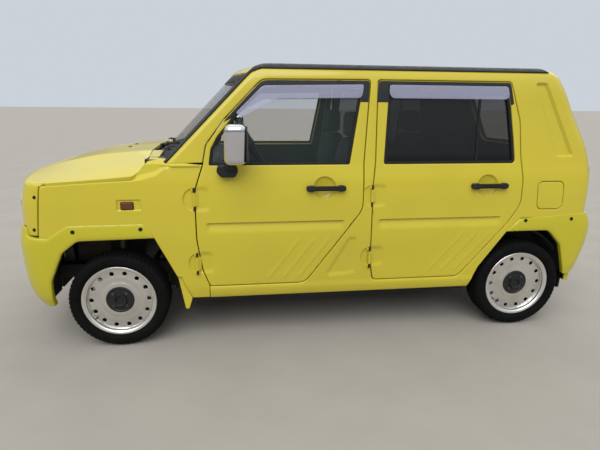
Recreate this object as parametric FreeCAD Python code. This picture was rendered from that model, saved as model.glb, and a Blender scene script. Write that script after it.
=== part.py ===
import FreeCAD
import Part
import math
import os
from FreeCAD import Vector

# A small five-door car with exposed door hinges, bolted-on bumpers and flares.
# Millimetres, +X forward, +Y to the car's left, +Z up. Shapes are drawn from the front
# axle (x = 0 there, and x = -WHEELBASE at the rear axle) and moved at the end, so that
# the origin is on the ground under the middle of the car.

# Driving dimensions
WHEELBASE = 2360.0
FRONT_OVERHANG = 570.0
REAR_OVERHANG = 465.0
FLARE_HALF_WIDTH = 737.5
ROOF_Z = 1550.0
TYRE_R = 268.5
TYRE_WIDTH = 165.0
TRACK_HALF = 650.0
RIM_R = 178.0
FLANGE_R = 195.0

# Wall thicknesses and gaps
DOOR_T = 60.0
PANEL_T = 28.0
ROOF_T = 36.0
BONNET_T = 26.0
BUMPER_T = 34.0
FLAP_T = 14.0
FLAP_RECESS = 20.0
GLASS_T = 5.0
GLASS_SET = 16.0
DOOR_GAP = 6.0
SEAM = 4.0
FIT = 0.4

# Doors and pillars, measured from the front axle
DOOR_FRONT_X = -440.0
PILLAR_X = -1390.0
SILL_TOP_Z = 338.0
DOOR_TOP_Z = 1460.0
BELT_Z = 1022.0
HINGE_Y = 731.0
HINGE_R = 6.5
HINGE_PIN_R = 3.0
HINGE_GAP = 6.0

# Windscreen plane: a bowed surface that leans back by SCREEN_RUN per unit of height
SCREEN_RUN = 0.974
SCREEN_BOW = 104.0
SCREEN_BASE_X = -215.0
SCREEN_BASE_Z = 1065.0

# Joint axes
KINGPIN_LEAN = math.radians(11.0)
BALL_JOINT_Y = 590.0
BALL_JOINT_Z = 190.0
COLUMN_LEAN = math.radians(28.0)
STEERING_WHEEL = Vector(-776.0, -330.0, 1040.0)
BONNET_HINGE_X = -168.0
BONNET_HINGE_Z = 1057.0
BONNET_HINGE_Y = 240.0
BONNET_PIN_R = 4.0
BONNET_REAR_X = -172.0
BONNET_GAP = 7.0

REAR_X = -WHEELBASE
NOSE_X = FRONT_OVERHANG
TAIL_X = -WHEELBASE - REAR_OVERHANG
FRONT_AXLE_X = (FRONT_OVERHANG + WHEELBASE + REAR_OVERHANG) / 2 - FRONT_OVERHANG
AXLE_Z = TYRE_R

# Body sections by height. Columns: z, half width, how far the tail stands ahead of the
# bumper's tail, how far the roof's front stands behind the windscreen's plane.
BODY_LEVELS = [
    (262.0, 702.0, 60.0, 0.0),
    (335.0, 716.0, 50.0, 0.0),
    (450.0, 722.0, 44.0, 0.0),
    (640.0, 731.0, 42.0, 0.0),
    (800.0, 731.0, 40.0, 0.0),
    (900.0, 727.0, 40.0, 0.0),
    (BELT_Z, 708.0, 54.0, 0.0),
    (1300.0, 666.0, 175.0, 0.0),
    (1450.0, 644.0, 245.0, 0.0),
    (1512.0, 622.0, 290.0, 4.0),
    (1532.0, 590.0, 345.0, 30.0),
    (ROOF_Z, 470.0, 560.0, 240.0),
]
SCREEN_FOOT_Z = 940.0
A_CORNER_R = 40.0
TAIL_R = 70.0
TAIL_BOW = 22.0

# Nose sections by height. Columns: z, how far behind the bumper's front.
NOSE_LEVELS = [
    (262.0, 70.0),
    (335.0, 50.0),
    (450.0, 35.0),
    (640.0, 26.0),
    (800.0, 30.0),
    (900.0, 48.0),
    (965.0, 80.0),
]
NOSE_R = 150.0
NOSE_BOW = 60.0
NOSE_BACK_X = -700.0

# Bumper sections by height. Columns: z, half width, how far behind the bumper's front,
# how far ahead of the bumper's tail.
BUMPER_LEVELS = [
    (236.0, 690.0, 50.0, 90.0),
    (305.0, 716.0, 24.0, 66.0),
    (400.0, 730.0, 8.0, 34.0),
    (605.0, FLARE_HALF_WIDTH, 0.0, 0.0),
    (652.0, FLARE_HALF_WIDTH, 8.0, 4.0),
    (714.0, 733.5, 18.0, 34.0),
]
BUMPER_BOW = 60.0
BUMPER_TAIL_R = 90.0
BUMPER_TAIL_BOW = 10.0
REAR_BUMPER_LOW_Z = 320.0

# Bonnet sections. Columns: x, centre z, z where the raised middle starts, crease z,
# seam z.
BONNET_STATIONS = [
    (-200.0, 1074.0, 1064.0, 1010.0, 968.0),
    (-60.0, 1064.0, 1054.0, 997.0, 955.0),
    (125.0, 1046.0, 1036.0, 975.0, 942.0),
    (300.0, 1012.0, 1002.0, 955.0, 932.0),
    (420.0, 978.0, 970.0, 940.0, 925.0),
    (500.0, 952.0, 948.0, 936.0, 926.0),
    (540.0, 936.0, 934.0, 930.0, 922.0),
]
BONNET_BULGE_Y = 360.0
BONNET_BULGE_EDGE_Y = 425.0
BONNET_CREASE_Y = 600.0
BONNET_EDGE_Y = 735.0
BONNET_FOOT_Z = 880.0

# Side outlines. Columns: x, z, corner radius.
FRONT_DOOR = [
    (DOOR_FRONT_X - 60.0, SILL_TOP_Z, 15.0),
    (DOOR_FRONT_X - 22.0, 440.0, 120.0),
    (DOOR_FRONT_X, 620.0, 200.0),
    (DOOR_FRONT_X, 880.0, 200.0),
    (DOOR_FRONT_X - 45.0, BELT_Z - 10.0, 60.0),
    (DOOR_FRONT_X - 66.0, 1120.0, 60.0),
    (DOOR_FRONT_X - 170.0, 1256.0, 80.0),
    (DOOR_FRONT_X - 365.0, DOOR_TOP_Z - 5.0, 70.0),
    (PILLAR_X, DOOR_TOP_Z, 14.0),
    (PILLAR_X + 35.0, BELT_Z, 100.0),
    (PILLAR_X + 35.0, 765.0, 120.0),
    (PILLAR_X + 356.0, SILL_TOP_Z, 70.0),
]
REAR_DOOR = [
    (PILLAR_X - 48.0, DOOR_TOP_Z, 12.0),
    (PILLAR_X - 37.0, BELT_Z, 60.0),
    (PILLAR_X - 24.0, 900.0, 150.0),
    (PILLAR_X - 28.0, 450.0, 150.0),
    (PILLAR_X - 50.0, SILL_TOP_Z, 20.0),
    (REAR_X + 397.0, SILL_TOP_Z, 60.0),
    (REAR_X + 115.0, 680.0, 80.0),
    (REAR_X + 57.0, 775.0, 120.0),
    (REAR_X + 57.0, 920.0, 150.0),
    (REAR_X + 77.0, 1060.0, 100.0),
    (REAR_X + 90.0, 1250.0, 200.0),
    (REAR_X + 152.0, DOOR_TOP_Z, 15.0),
]
FRONT_WINDOW = [
    (DOOR_FRONT_X - 75.0, 1014.0, 8.0),
    (DOOR_FRONT_X - 88.0, 1100.0, 40.0),
    (DOOR_FRONT_X - 122.0, 1162.0, 40.0),
    (DOOR_FRONT_X - 225.0, 1285.0, 40.0),
    (DOOR_FRONT_X - 365.0, 1420.0, 50.0),
    (PILLAR_X + 38.0, 1434.0, 20.0),
    (PILLAR_X + 112.0, 1014.0, 10.0),
]
REAR_WINDOW = [
    (PILLAR_X - 108.0, 1434.0, 14.0),
    (PILLAR_X - 80.0, 1014.0, 12.0),
    (REAR_X + 108.0, 1014.0, 20.0),
    (REAR_X + 122.0, 1150.0, 80.0),
    (REAR_X + 146.0, 1330.0, 80.0),
    (REAR_X + 172.0, 1434.0, 22.0),
]
FRONT_ARCH = [
    (352.0, 200.0, 0.0),
    (335.0, 400.0, 60.0),
    (262.0, 560.0, 60.0),
    (180.0, 624.0, 60.0),
    (-215.0, 630.0, 0.0),
    (-322.0, 400.0, 60.0),
    (-350.0, 200.0, 0.0),
]
REAR_ARCH = [
    (REAR_X + 345.0, 200.0, 0.0),
    (REAR_X + 270.0, 390.0, 60.0),
    (REAR_X + 115.0, 612.0, 0.0),
    (REAR_X - 150.0, 612.0, 60.0),
    (REAR_X - 240.0, 520.0, 60.0),
    (REAR_X - 305.0, 310.0, 40.0),
    (REAR_X - 320.0, 200.0, 0.0),
]
FRONT_BUMPER_SIDE = [
    (NOSE_X + 10.0, 236.0, 0.0),
    (NOSE_X + 10.0, 700.0, 0.0),
    (440.0, 700.0, 0.0),
    (430.0, 652.0, 10.0),
    (325.0, 640.0, 30.0),
    (222.0, 712.0, 20.0),
    (-165.0, 714.0, 30.0),
    (-219.0, 630.0, 0.0),
    (180.0, 624.0, 60.0),
    (262.0, 560.0, 60.0),
    (335.0, 400.0, 60.0),
    (350.0, 236.0, 0.0),
]
REAR_BUMPER_SIDE = [
    (TAIL_X - 10.0, REAR_BUMPER_LOW_Z, 0.0),
    (TAIL_X - 10.0, 713.0, 0.0),
    (REAR_X + 30.0, 700.0, 30.0),
    (REAR_X + 119.0, 612.0, 0.0),
    (REAR_X - 150.0, 612.0, 60.0),
    (REAR_X - 240.0, 520.0, 60.0),
    (REAR_X - 302.0, REAR_BUMPER_LOW_Z, 0.0),
]
FENDER_BACK = [
    (DOOR_FRONT_X - 60.0 + DOOR_GAP, SILL_TOP_Z, 15.0),
    (DOOR_FRONT_X - 22.0 + DOOR_GAP, 440.0, 120.0),
    (DOOR_FRONT_X + DOOR_GAP, 620.0, 200.0),
    (DOOR_FRONT_X + DOOR_GAP, 880.0, 200.0),
    (DOOR_FRONT_X - 45.0 + DOOR_GAP, BELT_Z - 8.0, 0.0),
]
BONNET_CUT = [
    (NOSE_X + 20.0, 925.0, 0.0),
    (370.0, 930.0, 40.0),
    (-118.0, 960.0, 20.0),
    (BONNET_REAR_X, 1030.0, 20.0),
    (BONNET_REAR_X, 1100.0, 0.0),
    (NOSE_X + 20.0, 1100.0, 0.0),
]
LAMP_Y = 520.0
LAMP_Z = 800.0
LAMP_R = 88.0
GRILLE_HALF = 370.0
GRILLE_LOW = 742.0
GRILLE_HIGH = 858.0
FLAP = [
    (REAR_X - 44.0, 905.0, 30.0),
    (REAR_X - 55.0, 745.0, 30.0),
    (REAR_X - 215.0, 745.0, 30.0),
    (REAR_X - 204.0, 905.0, 30.0),
]

os.makedirs("parts", exist_ok=True)


def outline(corners, place):
    """Face inside corners (a, b, radius), rounded, mapped to space by place."""
    count = len(corners)
    ends = []
    for i, (a, b, radius) in enumerate(corners):
        here = Vector(a, b, 0)
        back = Vector(corners[i - 1][0], corners[i - 1][1], 0) - here
        ahead = Vector(corners[(i + 1) % count][0], corners[(i + 1) % count][1], 0) - here
        half = back.getAngle(ahead) / 2
        reach = min(radius / math.tan(half), back.Length * 0.49, ahead.Length * 0.49)
        if reach < 0.05:
            ends.append((here, None, here))
            continue
        back.normalize()
        ahead.normalize()
        inward = back + ahead
        inward.normalize()
        centre = here + inward * (reach / math.cos(half))
        middle = centre - inward * (reach * math.tan(half))
        ends.append((here + back * reach, middle, here + ahead * reach))
    edges = []
    for i, (start, middle, end) in enumerate(ends):
        if middle is not None:
            edges.append(Part.Arc(place(start), place(middle), place(end)).toShape())
        following = ends[(i + 1) % count][0]
        if (following - end).Length > 0.001:
            edges.append(Part.LineSegment(place(end), place(following)).toShape())
    return Part.Face(Part.Wire(edges))


def side(corners, y0, y1):
    """Prism of an outline in x and z, from y0 to y1."""
    face = outline(corners, lambda p: Vector(p.x, y0, p.y))
    return face.extrude(Vector(0, y1 - y0, 0))


def plan(corners, z0, z1):
    """Prism of an outline in x and y, from z0 to z1."""
    face = outline(corners, lambda p: Vector(p.x, p.y, z0))
    return face.extrude(Vector(0, 0, z1 - z0))


def front(corners, x0, x1):
    """Prism of an outline in y and z, from x0 to x1."""
    face = outline(corners, lambda p: Vector(x0, p.x, p.y))
    return face.extrude(Vector(x1 - x0, 0, 0))


def sharp(*points):
    """Corners with no rounding."""
    return [(a, b, 0.0) for a, b in points]


def grown_side(corners, gap, y0, y1):
    """Prism of a side outline moved outward all round by gap."""
    face = outline(corners, lambda p: Vector(p.x, y0, p.y))
    return face.makeOffset2D(gap).extrude(Vector(0, y1 - y0, 0))


def box(x0, x1, y0, y1, z0, z1):
    return Part.makeBox(x1 - x0, y1 - y0, z1 - z0, Vector(x0, y0, z0))


def rod(start, end, radius):
    start = Vector(*start)
    axis = Vector(*end) - start
    return Part.makeCylinder(radius, axis.Length, start, axis)


def mirrored(shape):
    return shape.mirror(Vector(0, 0, 0), Vector(0, 1, 0))


def joined(*shapes):
    return shapes[0].multiFuse(list(shapes[1:])).removeSplitter()


def ring(z, half, nose_x, tail_x, nose_r, tail_r, nose_bow, tail_bow):
    """Plan section: straight sides, round corners and bowed ends."""
    nose_end = nose_x - nose_bow
    tail_end = tail_x + tail_bow
    cut = 1 - math.sqrt(0.5)

    def p(x, y):
        return Vector(x, y, z)

    sides = []
    for y in (half, -half):
        sign = 1 if y > 0 else -1
        sides.append((p(tail_end + tail_r, y), p(nose_end - nose_r, y),
                      p(nose_end - nose_r * cut, y - sign * nose_r * cut),
                      p(nose_end, y - sign * nose_r),
                      p(tail_end + tail_r * cut, y - sign * tail_r * cut),
                      p(tail_end, y - sign * tail_r)))
    left, right = sides
    return Part.Wire([
        Part.LineSegment(left[0], left[1]).toShape(),
        Part.Arc(left[1], left[2], left[3]).toShape(),
        Part.Arc(left[3], p(nose_x, 0), right[3]).toShape(),
        Part.Arc(right[3], right[2], right[1]).toShape(),
        Part.LineSegment(right[1], right[0]).toShape(),
        Part.Arc(right[0], right[4], right[5]).toShape(),
        Part.Arc(right[5], p(tail_x, 0), left[5]).toShape(),
        Part.Arc(left[5], left[4], left[0]).toShape(),
    ])


def loft(wires):
    return Part.makeLoft(wires, True, True)


def screen_x(z):
    """Middle of the windscreen's outer surface at height z."""
    return SCREEN_BASE_X - SCREEN_RUN * (z - SCREEN_BASE_Z)


def half_width(z):
    """Half width of the body's side at height z."""
    for low, high in zip(BODY_LEVELS, BODY_LEVELS[1:]):
        if low[0] <= z <= high[0]:
            return low[1] + (high[1] - low[1]) * (z - low[0]) / (high[0] - low[0])
    return BODY_LEVELS[0][1]


def body(inset):
    """Whole body with no wheel arches, moved inward by inset."""
    wires = []
    for z, half, tail_in, roof_in in BODY_LEVELS:
        level = z if z < 1500.0 else z - inset
        nose_x = screen_x(max(z, SCREEN_FOOT_Z)) - roof_in - inset * 1.35
        wires.append(ring(level, half - inset, nose_x, TAIL_X + tail_in + inset,
                          max(A_CORNER_R - inset, 6.0), max(TAIL_R - inset, 8.0),
                          SCREEN_BOW, TAIL_BOW))
    return loft(wires)


def nose(inset):
    """Front of the body up to the bonnet's seam, moved inward by inset."""
    return loft([ring(z, half_width(z) - inset, NOSE_X - back - inset, NOSE_BACK_X,
                      NOSE_R - inset, 10.0, NOSE_BOW, 1.0) for z, back in NOSE_LEVELS])


def bumper(inset):
    """Bumpers and flares as one belt all round, moved inward by inset."""
    return loft([ring(z, half - inset, NOSE_X - back - inset, TAIL_X + ahead + inset,
                      NOSE_R - inset, BUMPER_TAIL_R - inset, BUMPER_BOW, BUMPER_TAIL_BOW)
                 for z, half, back, ahead in BUMPER_LEVELS])


def bonnet_hill(drop, narrow):
    """Bonnet as a solid hill, its top lowered by drop and its sides moved in by narrow."""
    wires = []
    for x, centre, bulge, crease, seam in BONNET_STATIONS:
        edge = BONNET_EDGE_Y - narrow
        half = [(edge, BONNET_FOOT_Z - drop), (edge, seam - drop),
                (BONNET_CREASE_Y, crease - drop),
                (BONNET_BULGE_EDGE_Y, (crease + 2 * bulge) / 3 - drop),
                (BONNET_BULGE_Y, bulge - drop), (0.0, centre - drop)]
        line = half + [(-y, z) for y, z in reversed(half[:-1])]
        points = [Vector(x, y, z) for y, z in line]
        wires.append(Part.makePolygon(points + points[:1]))
    return loft(wires)


def put(name, *shapes):
    """Write the solids of one node, moved to the part's frame."""
    solids = []
    for shape in shapes:
        solids += shape.Solids
    whole = solids[0] if len(solids) == 1 else Part.makeCompound(solids)
    whole = whole.copy()
    whole.translate(Vector(FRONT_AXLE_X, 0, 0))
    whole.exportStep("parts/" + name + ".step")
    box_ = whole.BoundBox
    print(name, len(solids), "solids", round(whole.Volume / 1e9, 5), "m3", whole.isValid(),
          [round(v) for v in (box_.XMin, box_.XMax, box_.YMin, box_.YMax, box_.ZMin, box_.ZMax)])


# The body's skins, each moved inward by its inset
skin = body(0.0)
skin_panel = body(PANEL_T + FIT)
skin_door = body(DOOR_T)
skin_roof = body(ROOF_T)
skin_glass_out = body(GLASS_SET)
skin_glass_in = body(GLASS_SET + GLASS_T)
nose_skin = nose(0.0)
nose_inner = nose(PANEL_T)
belt_out = bumper(0.0)
belt_in = bumper(BUMPER_T)

FAR = 900.0
SPLIT_LOW_Y = 645.0
SPLIT_TOP_Y = 600.0
SPLIT_TOP_Z = 1492.0
TAILGATE_HALF = 588.0

# Region of the left side frame, seen from the front and from behind
frame_front = front(sharp((590.0, 250.0), (590.0, BELT_Z - 60.0), (SPLIT_LOW_Y, BELT_Z),
                          (SPLIT_TOP_Y, SPLIT_TOP_Z), (SPLIT_TOP_Y, 1600.0), (FAR, 1600.0),
                          (FAR, 250.0)), REAR_X + 200.0, 0.0)
frame_rear = front(sharp((TAILGATE_HALF + DOOR_GAP, 250.0), (TAILGATE_HALF + DOOR_GAP, 1600.0),
                         (FAR, 1600.0), (FAR, 250.0)), TAIL_X - 50.0, REAR_X + 200.0)

# Doors
door_wall = skin.cut(skin_door)
front_door_prism = side(FRONT_DOOR, 400.0, FAR)
rear_door_prism = side(REAR_DOOR, 400.0, FAR)
front_window_prism = side(FRONT_WINDOW, 400.0, FAR)
rear_window_prism = side(REAR_WINDOW, 400.0, FAR)
glass_wall = skin_glass_out.cut(skin_glass_in)

front_door = door_wall.common(front_door_prism).cut(front_window_prism)
rear_door = door_wall.common(rear_door_prism).cut(rear_window_prism)
front_glass = glass_wall.common(front_window_prism)
rear_glass = glass_wall.common(rear_window_prism)

# Hinges: a strap and barrel on the door, between two straps on the body. Columns: axis x,
# x of the door's edge there, foot z and top z of the barrel.
FRONT_AXIS_X = DOOR_FRONT_X + DOOR_GAP
REAR_AXIS_X = PILLAR_X - 24.0 + DOOR_GAP
FRONT_HINGES = [
    (FRONT_AXIS_X, DOOR_FRONT_X - 6.0, 800.0, 873.0),
    (FRONT_AXIS_X, DOOR_FRONT_X - 24.0, 437.0, 512.0),
]
REAR_HINGES = [
    (REAR_AXIS_X, PILLAR_X - 28.0, 805.0, 875.0),
    (REAR_AXIS_X, PILLAR_X - 32.0, 440.0, 515.0),
]
STRAP_T = 5.0
STRAP_LENGTH = 36.0
STRAP_SINK = 8.0


def strap(x0, x1, root_x0, root_x1, low, high):
    """Flat strap at the hinge's depth, with a foot sunk into its panel."""
    foot_y = half_width((low + high) / 2) - STRAP_SINK
    return joined(box(x0, x1, HINGE_Y - 3.0, HINGE_Y - 3.0 + STRAP_T, low, high),
                  box(root_x0, root_x1, foot_y, HINGE_Y - 3.0 + STRAP_T, low, high))


def door_leaves(rows):
    leaves = []
    for axis_x, edge_x, low, high in rows:
        leaves.append(strap(edge_x - STRAP_LENGTH, axis_x, edge_x - STRAP_LENGTH, edge_x - 6.0,
                            low, high))
        leaves.append(Part.makeCylinder(HINGE_R, high - low, Vector(axis_x, HINGE_Y, low)))
        pin_low = low - HINGE_GAP + FIT
        pin_high = high + HINGE_GAP - FIT
        leaves.append(Part.makeCylinder(HINGE_PIN_R, pin_high - pin_low,
                                        Vector(axis_x, HINGE_Y, pin_low)))
    return leaves


def body_leaves(rows):
    """Straps of the body half, one under and one over each barrel's pin."""
    leaves = []
    for axis_x, _, low, high in rows:
        for z in (low - 18.0 - HINGE_GAP, high + HINGE_GAP):
            leaves.append(strap(axis_x - 2.0, axis_x + STRAP_LENGTH, axis_x + 6.0,
                                axis_x + STRAP_LENGTH, z, z + 18.0))
    return leaves


def barrel_notches(rows):
    return [Part.makeCylinder(HINGE_R + 5.5, high - low + 2 * HINGE_GAP,
                              Vector(x, HINGE_Y, low - HINGE_GAP))
            for x, _, low, high in rows]


front_door = joined(front_door, *door_leaves(FRONT_HINGES))
rear_door = joined(rear_door, *door_leaves(REAR_HINGES))

# Door fittings: a bar handle, and on the front door the mirror on its foot
HANDLE_Z = 890.0
HANDLE_LENGTH = 224.0
MIRROR_X = -660.0


def handle(middle_x):
    y = half_width(HANDLE_Z - 18.0)
    return joined(box(middle_x - HANDLE_LENGTH / 2, middle_x + HANDLE_LENGTH / 2,
                      y + 12.0, y + 28.0, HANDLE_Z - 18.0, HANDLE_Z + 18.0),
                  box(middle_x - HANDLE_LENGTH / 2, middle_x - HANDLE_LENGTH / 2 + 30.0,
                      y + FIT, y + 14.0, HANDLE_Z - 14.0, HANDLE_Z + 14.0),
                  box(middle_x + HANDLE_LENGTH / 2 - 30.0, middle_x + HANDLE_LENGTH / 2,
                      y + FIT, y + 14.0, HANDLE_Z - 14.0, HANDLE_Z + 14.0))


def door_mirror():
    foot = side([(MIRROR_X + 118.0, 985.0, 25.0), (MIRROR_X + 90.0, 956.0, 20.0),
                 (MIRROR_X + 20.0, 956.0, 20.0), (MIRROR_X + 6.0, 990.0, 20.0),
                 (MIRROR_X + 16.0, 1020.0, 20.0), (MIRROR_X + 110.0, 1020.0, 20.0)],
                half_width(956.0) + FIT, 768.0)
    arm = box(MIRROR_X + 5.0, MIRROR_X + 60.0, 738.0, 790.0, 1000.0, 1045.0)
    head = side([(MIRROR_X + 46.0, 1036.0, 20.0), (MIRROR_X + 50.0, 1226.0, 25.0),
                 (MIRROR_X - 40.0, 1229.0, 30.0), (MIRROR_X - 50.0, 1030.0, 20.0)],
                762.0, 878.0)
    return joined(foot, arm, head)


front_fittings = [handle(-1140.0), door_mirror()]
rear_fittings = [handle(-2092.0)]

for name, mirror_y in (("left", False), ("right", True)):
    flip = mirrored if mirror_y else (lambda shape: shape)
    put("front_door_" + name, flip(front_door))
    put("rear_door_" + name, flip(rear_door))
    put("front_glass_" + name, flip(front_glass))
    put("rear_glass_" + name, flip(rear_glass))
    put("front_fittings_" + name, *[flip(shape) for shape in front_fittings])
    put("rear_handle_" + name, *[flip(shape) for shape in rear_fittings])

# Tailgate, hinged at the roof
TAILGATE_LOW_Z = 722.0
TAILGATE_TOP_Z = 1505.0

# Flat places for the number plates, each with two bolt holes
PLATE_HALF = 168.0
PLATE_HEIGHT = 171.0
PLATE_HOLE_Y = 105.0
PLATE_HOLE_DROP = 20.0
PLATE_HOLE_R = 3.0
PLATE_SET = 9.0
FRONT_PLATE_Z = 606.0
REAR_PLATE_Z = 950.0
REAR_PLATE_IN = 47.0
tailgate_region = front([(-TAILGATE_HALF, TAILGATE_LOW_Z, 40.0),
                         (-TAILGATE_HALF, 1020.0, 0.0),
                         (-572.0, TAILGATE_TOP_Z, 40.0), (572.0, TAILGATE_TOP_Z, 40.0),
                         (TAILGATE_HALF, 1020.0, 0.0),
                         (TAILGATE_HALF, TAILGATE_LOW_Z, 40.0)], TAIL_X - 50.0, REAR_X - 90.0)
tail_window = front([(-530.0, 1060.0, 60.0), (-500.0, 1420.0, 60.0), (500.0, 1420.0, 60.0),
                     (530.0, 1060.0, 60.0)], TAIL_X - 50.0, REAR_X - 90.0)
tail_wall = skin.cut(body(45.0))
tailgate = tail_wall.common(tailgate_region).cut(tail_window)

# Tailgate hinges: a knuckle on the tailgate beside a knuckle on the roof, at each side
GATE_HINGE_X = -2539.0
GATE_HINGE_Z = 1508.0
GATE_HINGE_Y = 380.0
GATE_KNUCKLE = 36.0
GATE_KNUCKLE_R = 5.0
GATE_ARM_IN = 6.0


def gate_knuckle(y, arm):
    return joined(rod((GATE_HINGE_X, y, GATE_HINGE_Z),
                      (GATE_HINGE_X, y + GATE_KNUCKLE, GATE_HINGE_Z), GATE_KNUCKLE_R), arm)


def gate_notch(y):
    """Room round a knuckle in the other piece."""
    return rod((GATE_HINGE_X, y - 6.0, GATE_HINGE_Z),
               (GATE_HINGE_X, y + GATE_KNUCKLE + 6.0, GATE_HINGE_Z), GATE_KNUCKLE_R + 5.5)


ROOF_KNUCKLE_Y = GATE_HINGE_Y + GATE_KNUCKLE + FIT
gate_arm = box(GATE_HINGE_X - 5.0, GATE_HINGE_X + 16.0, GATE_HINGE_Y + GATE_ARM_IN,
               GATE_HINGE_Y + GATE_KNUCKLE - GATE_ARM_IN, GATE_HINGE_Z - 22.0,
               GATE_HINGE_Z - 2.0)
gate_leaf = gate_knuckle(GATE_HINGE_Y, gate_arm)
roof_arm = box(GATE_HINGE_X - 2.0, GATE_HINGE_X + 30.0, ROOF_KNUCKLE_Y + GATE_ARM_IN,
               ROOF_KNUCKLE_Y + GATE_KNUCKLE - GATE_ARM_IN, GATE_HINGE_Z - 1.0,
               GATE_HINGE_Z + 9.0)
roof_leaf = gate_knuckle(ROOF_KNUCKLE_Y, roof_arm)
tailgate = tailgate.cut([gate_notch(ROOF_KNUCKLE_Y), mirrored(gate_notch(ROOF_KNUCKLE_Y))])
tailgate = joined(tailgate, gate_leaf, mirrored(gate_leaf))
tailgate = tailgate.cut(box(TAIL_X - 50.0, TAIL_X + REAR_PLATE_IN, -PLATE_HALF, PLATE_HALF,
                            REAR_PLATE_Z - PLATE_HEIGHT, REAR_PLATE_Z))
for y in (PLATE_HOLE_Y, -PLATE_HOLE_Y):
    z = REAR_PLATE_Z - PLATE_HOLE_DROP
    tailgate = tailgate.cut(rod((TAIL_X - 50.0, y, z), (TAIL_X + 120.0, y, z), PLATE_HOLE_R))
tail_glass = glass_wall.common(tail_window)
put("tailgate", tailgate)
put("tailgate_glass", tail_glass)

# Windscreen
screen_region = front([(-632.0, 1040.0, 30.0), (-588.0, 1486.0, 60.0), (588.0, 1486.0, 60.0),
                       (632.0, 1040.0, 30.0)], -720.0, -100.0)
windscreen = body(6.0).cut(body(6.0 + GLASS_T)).common(screen_region)
put("windscreen", windscreen)

# Roof between the side frames
roof_region = joined(box(-2000.0, -500.0, -SPLIT_TOP_Y, SPLIT_TOP_Y, 1492.0, 1600.0),
                     box(REAR_X - 200.0, -2000.0, -TAILGATE_HALF - 6.0, TAILGATE_HALF + 6.0,
                         1492.0, 1600.0))
tailgate_slot = front(sharp((-594.0, 1400.0), (-594.0, TAILGATE_TOP_Z + DOOR_GAP),
                            (594.0, TAILGATE_TOP_Z + DOOR_GAP), (594.0, 1400.0)),
                      TAIL_X - 50.0, REAR_X - 60.0)
roof = skin.cut(skin_roof).common(roof_region).cut(tailgate_slot)
roof = roof.cut([gate_notch(GATE_HINGE_Y), mirrored(gate_notch(GATE_HINGE_Y))])
roof = joined(roof, roof_leaf, mirrored(roof_leaf))
put("roof", roof)

# Side frames: pillars, cant rail, sill and rear quarter of each side
frame_wall = skin.cut(skin_door)
frame = frame_wall.common(joined(frame_front, frame_rear))
fender_zone = box(-493.6, 100.0, PANEL_T, FAR, 250.0, BELT_Z)
frame = frame.cut(skin.cut(skin_panel).common(fender_zone))
frame = frame.cut(grown_side(FRONT_DOOR, DOOR_GAP, 400.0, FAR))
frame = frame.cut(grown_side(REAR_DOOR, DOOR_GAP, 400.0, FAR))
frame = frame.cut(side(REAR_ARCH, 400.0, FAR))
frame = frame.cut(box(-398.0, 200.0, 0.0, FAR, 200.0, 1010.0))
frame = frame.cut(box(TAIL_X - 50.0, REAR_X - 317.6, 0.0, FAR, 200.0, 716.0))
frame = joined(frame.cut(barrel_notches(REAR_HINGES)), *body_leaves(REAR_HINGES))

# Fuel flap, with the buffer on its back that rests in its recess
BUFFER_X = REAR_X - 190.0
BUFFER_Z = 825.0
flap_wall = skin.cut(body(FLAP_T))
buffer = rod((BUFFER_X, half_width(BUFFER_Z) - FLAP_T + 4.0, BUFFER_Z),
             (BUFFER_X, half_width(BUFFER_Z) - FLAP_RECESS + FIT, BUFFER_Z), 6.0)
put("fuel_flap", joined(flap_wall.common(side(FLAP, 690.0, FAR)), buffer))

# Front mud flaps stand between the tyre and the fender's lower corner
FLAP_IN_Y = 613.0
FLAP_TAIL_X = -400.0
FRONT_FLAP_SIDE = sharp((-322.0, 395.0), (-345.0, 393.0), (-360.0, 345.0), (-395.0, 262.0),
                        (-375.0, 198.0), (-355.0, 198.0), (-345.0, 260.0))
front_flap = side(FRONT_FLAP_SIDE, FLAP_IN_Y, FAR).common(joined(
    nose_skin, box(-400.0, -300.0, FLAP_IN_Y, 698.0, 190.0, 264.0)))

# Fenders
fender_outline = side([(370.0 - SEAM, 236.0, 0.0), (370.0 - SEAM, 930.0 - BONNET_GAP, 10.0),
                       (-118.0, 960.0 - BONNET_GAP, 20.0),
                       (BONNET_REAR_X - BONNET_GAP, 1020.0, 20.0),
                       (-300.0, 1019.0, 0.0), (DOOR_FRONT_X - 41.0, 1017.0, 0.0)]
                      + list(reversed(FENDER_BACK[:4]))
                      + [(-493.0, SILL_TOP_Z - 2.0, 0.0), (-493.0, 262.0, 0.0),
                         (-300.0, 262.0, 0.0)], 0.0, FAR)
fender_wall = joined(nose_skin.cut(nose_inner),
                     skin.cut(body(PANEL_T)).common(box(-600.0, 300.0, 668.0, FAR, 965.0, 1020.0)))
fender = fender_wall.common(fender_outline)
fender = fender.cut(side(FRONT_ARCH, 400.0, FAR))
fender = fender.cut(box(-360.0, -300.0, 0.0, FAR, 200.0, 392.0))
fender = fender.cut(box(348.0, 600.0, 0.0, FAR, 200.0, 655.0))
fender = fender.cut(grown_side(FRONT_FLAP_SIDE, FIT, 500.0, FAR))
fender = joined(fender.cut(barrel_notches(FRONT_HINGES)), *body_leaves(FRONT_HINGES))
put("fenders", fender, mirrored(fender))

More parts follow.
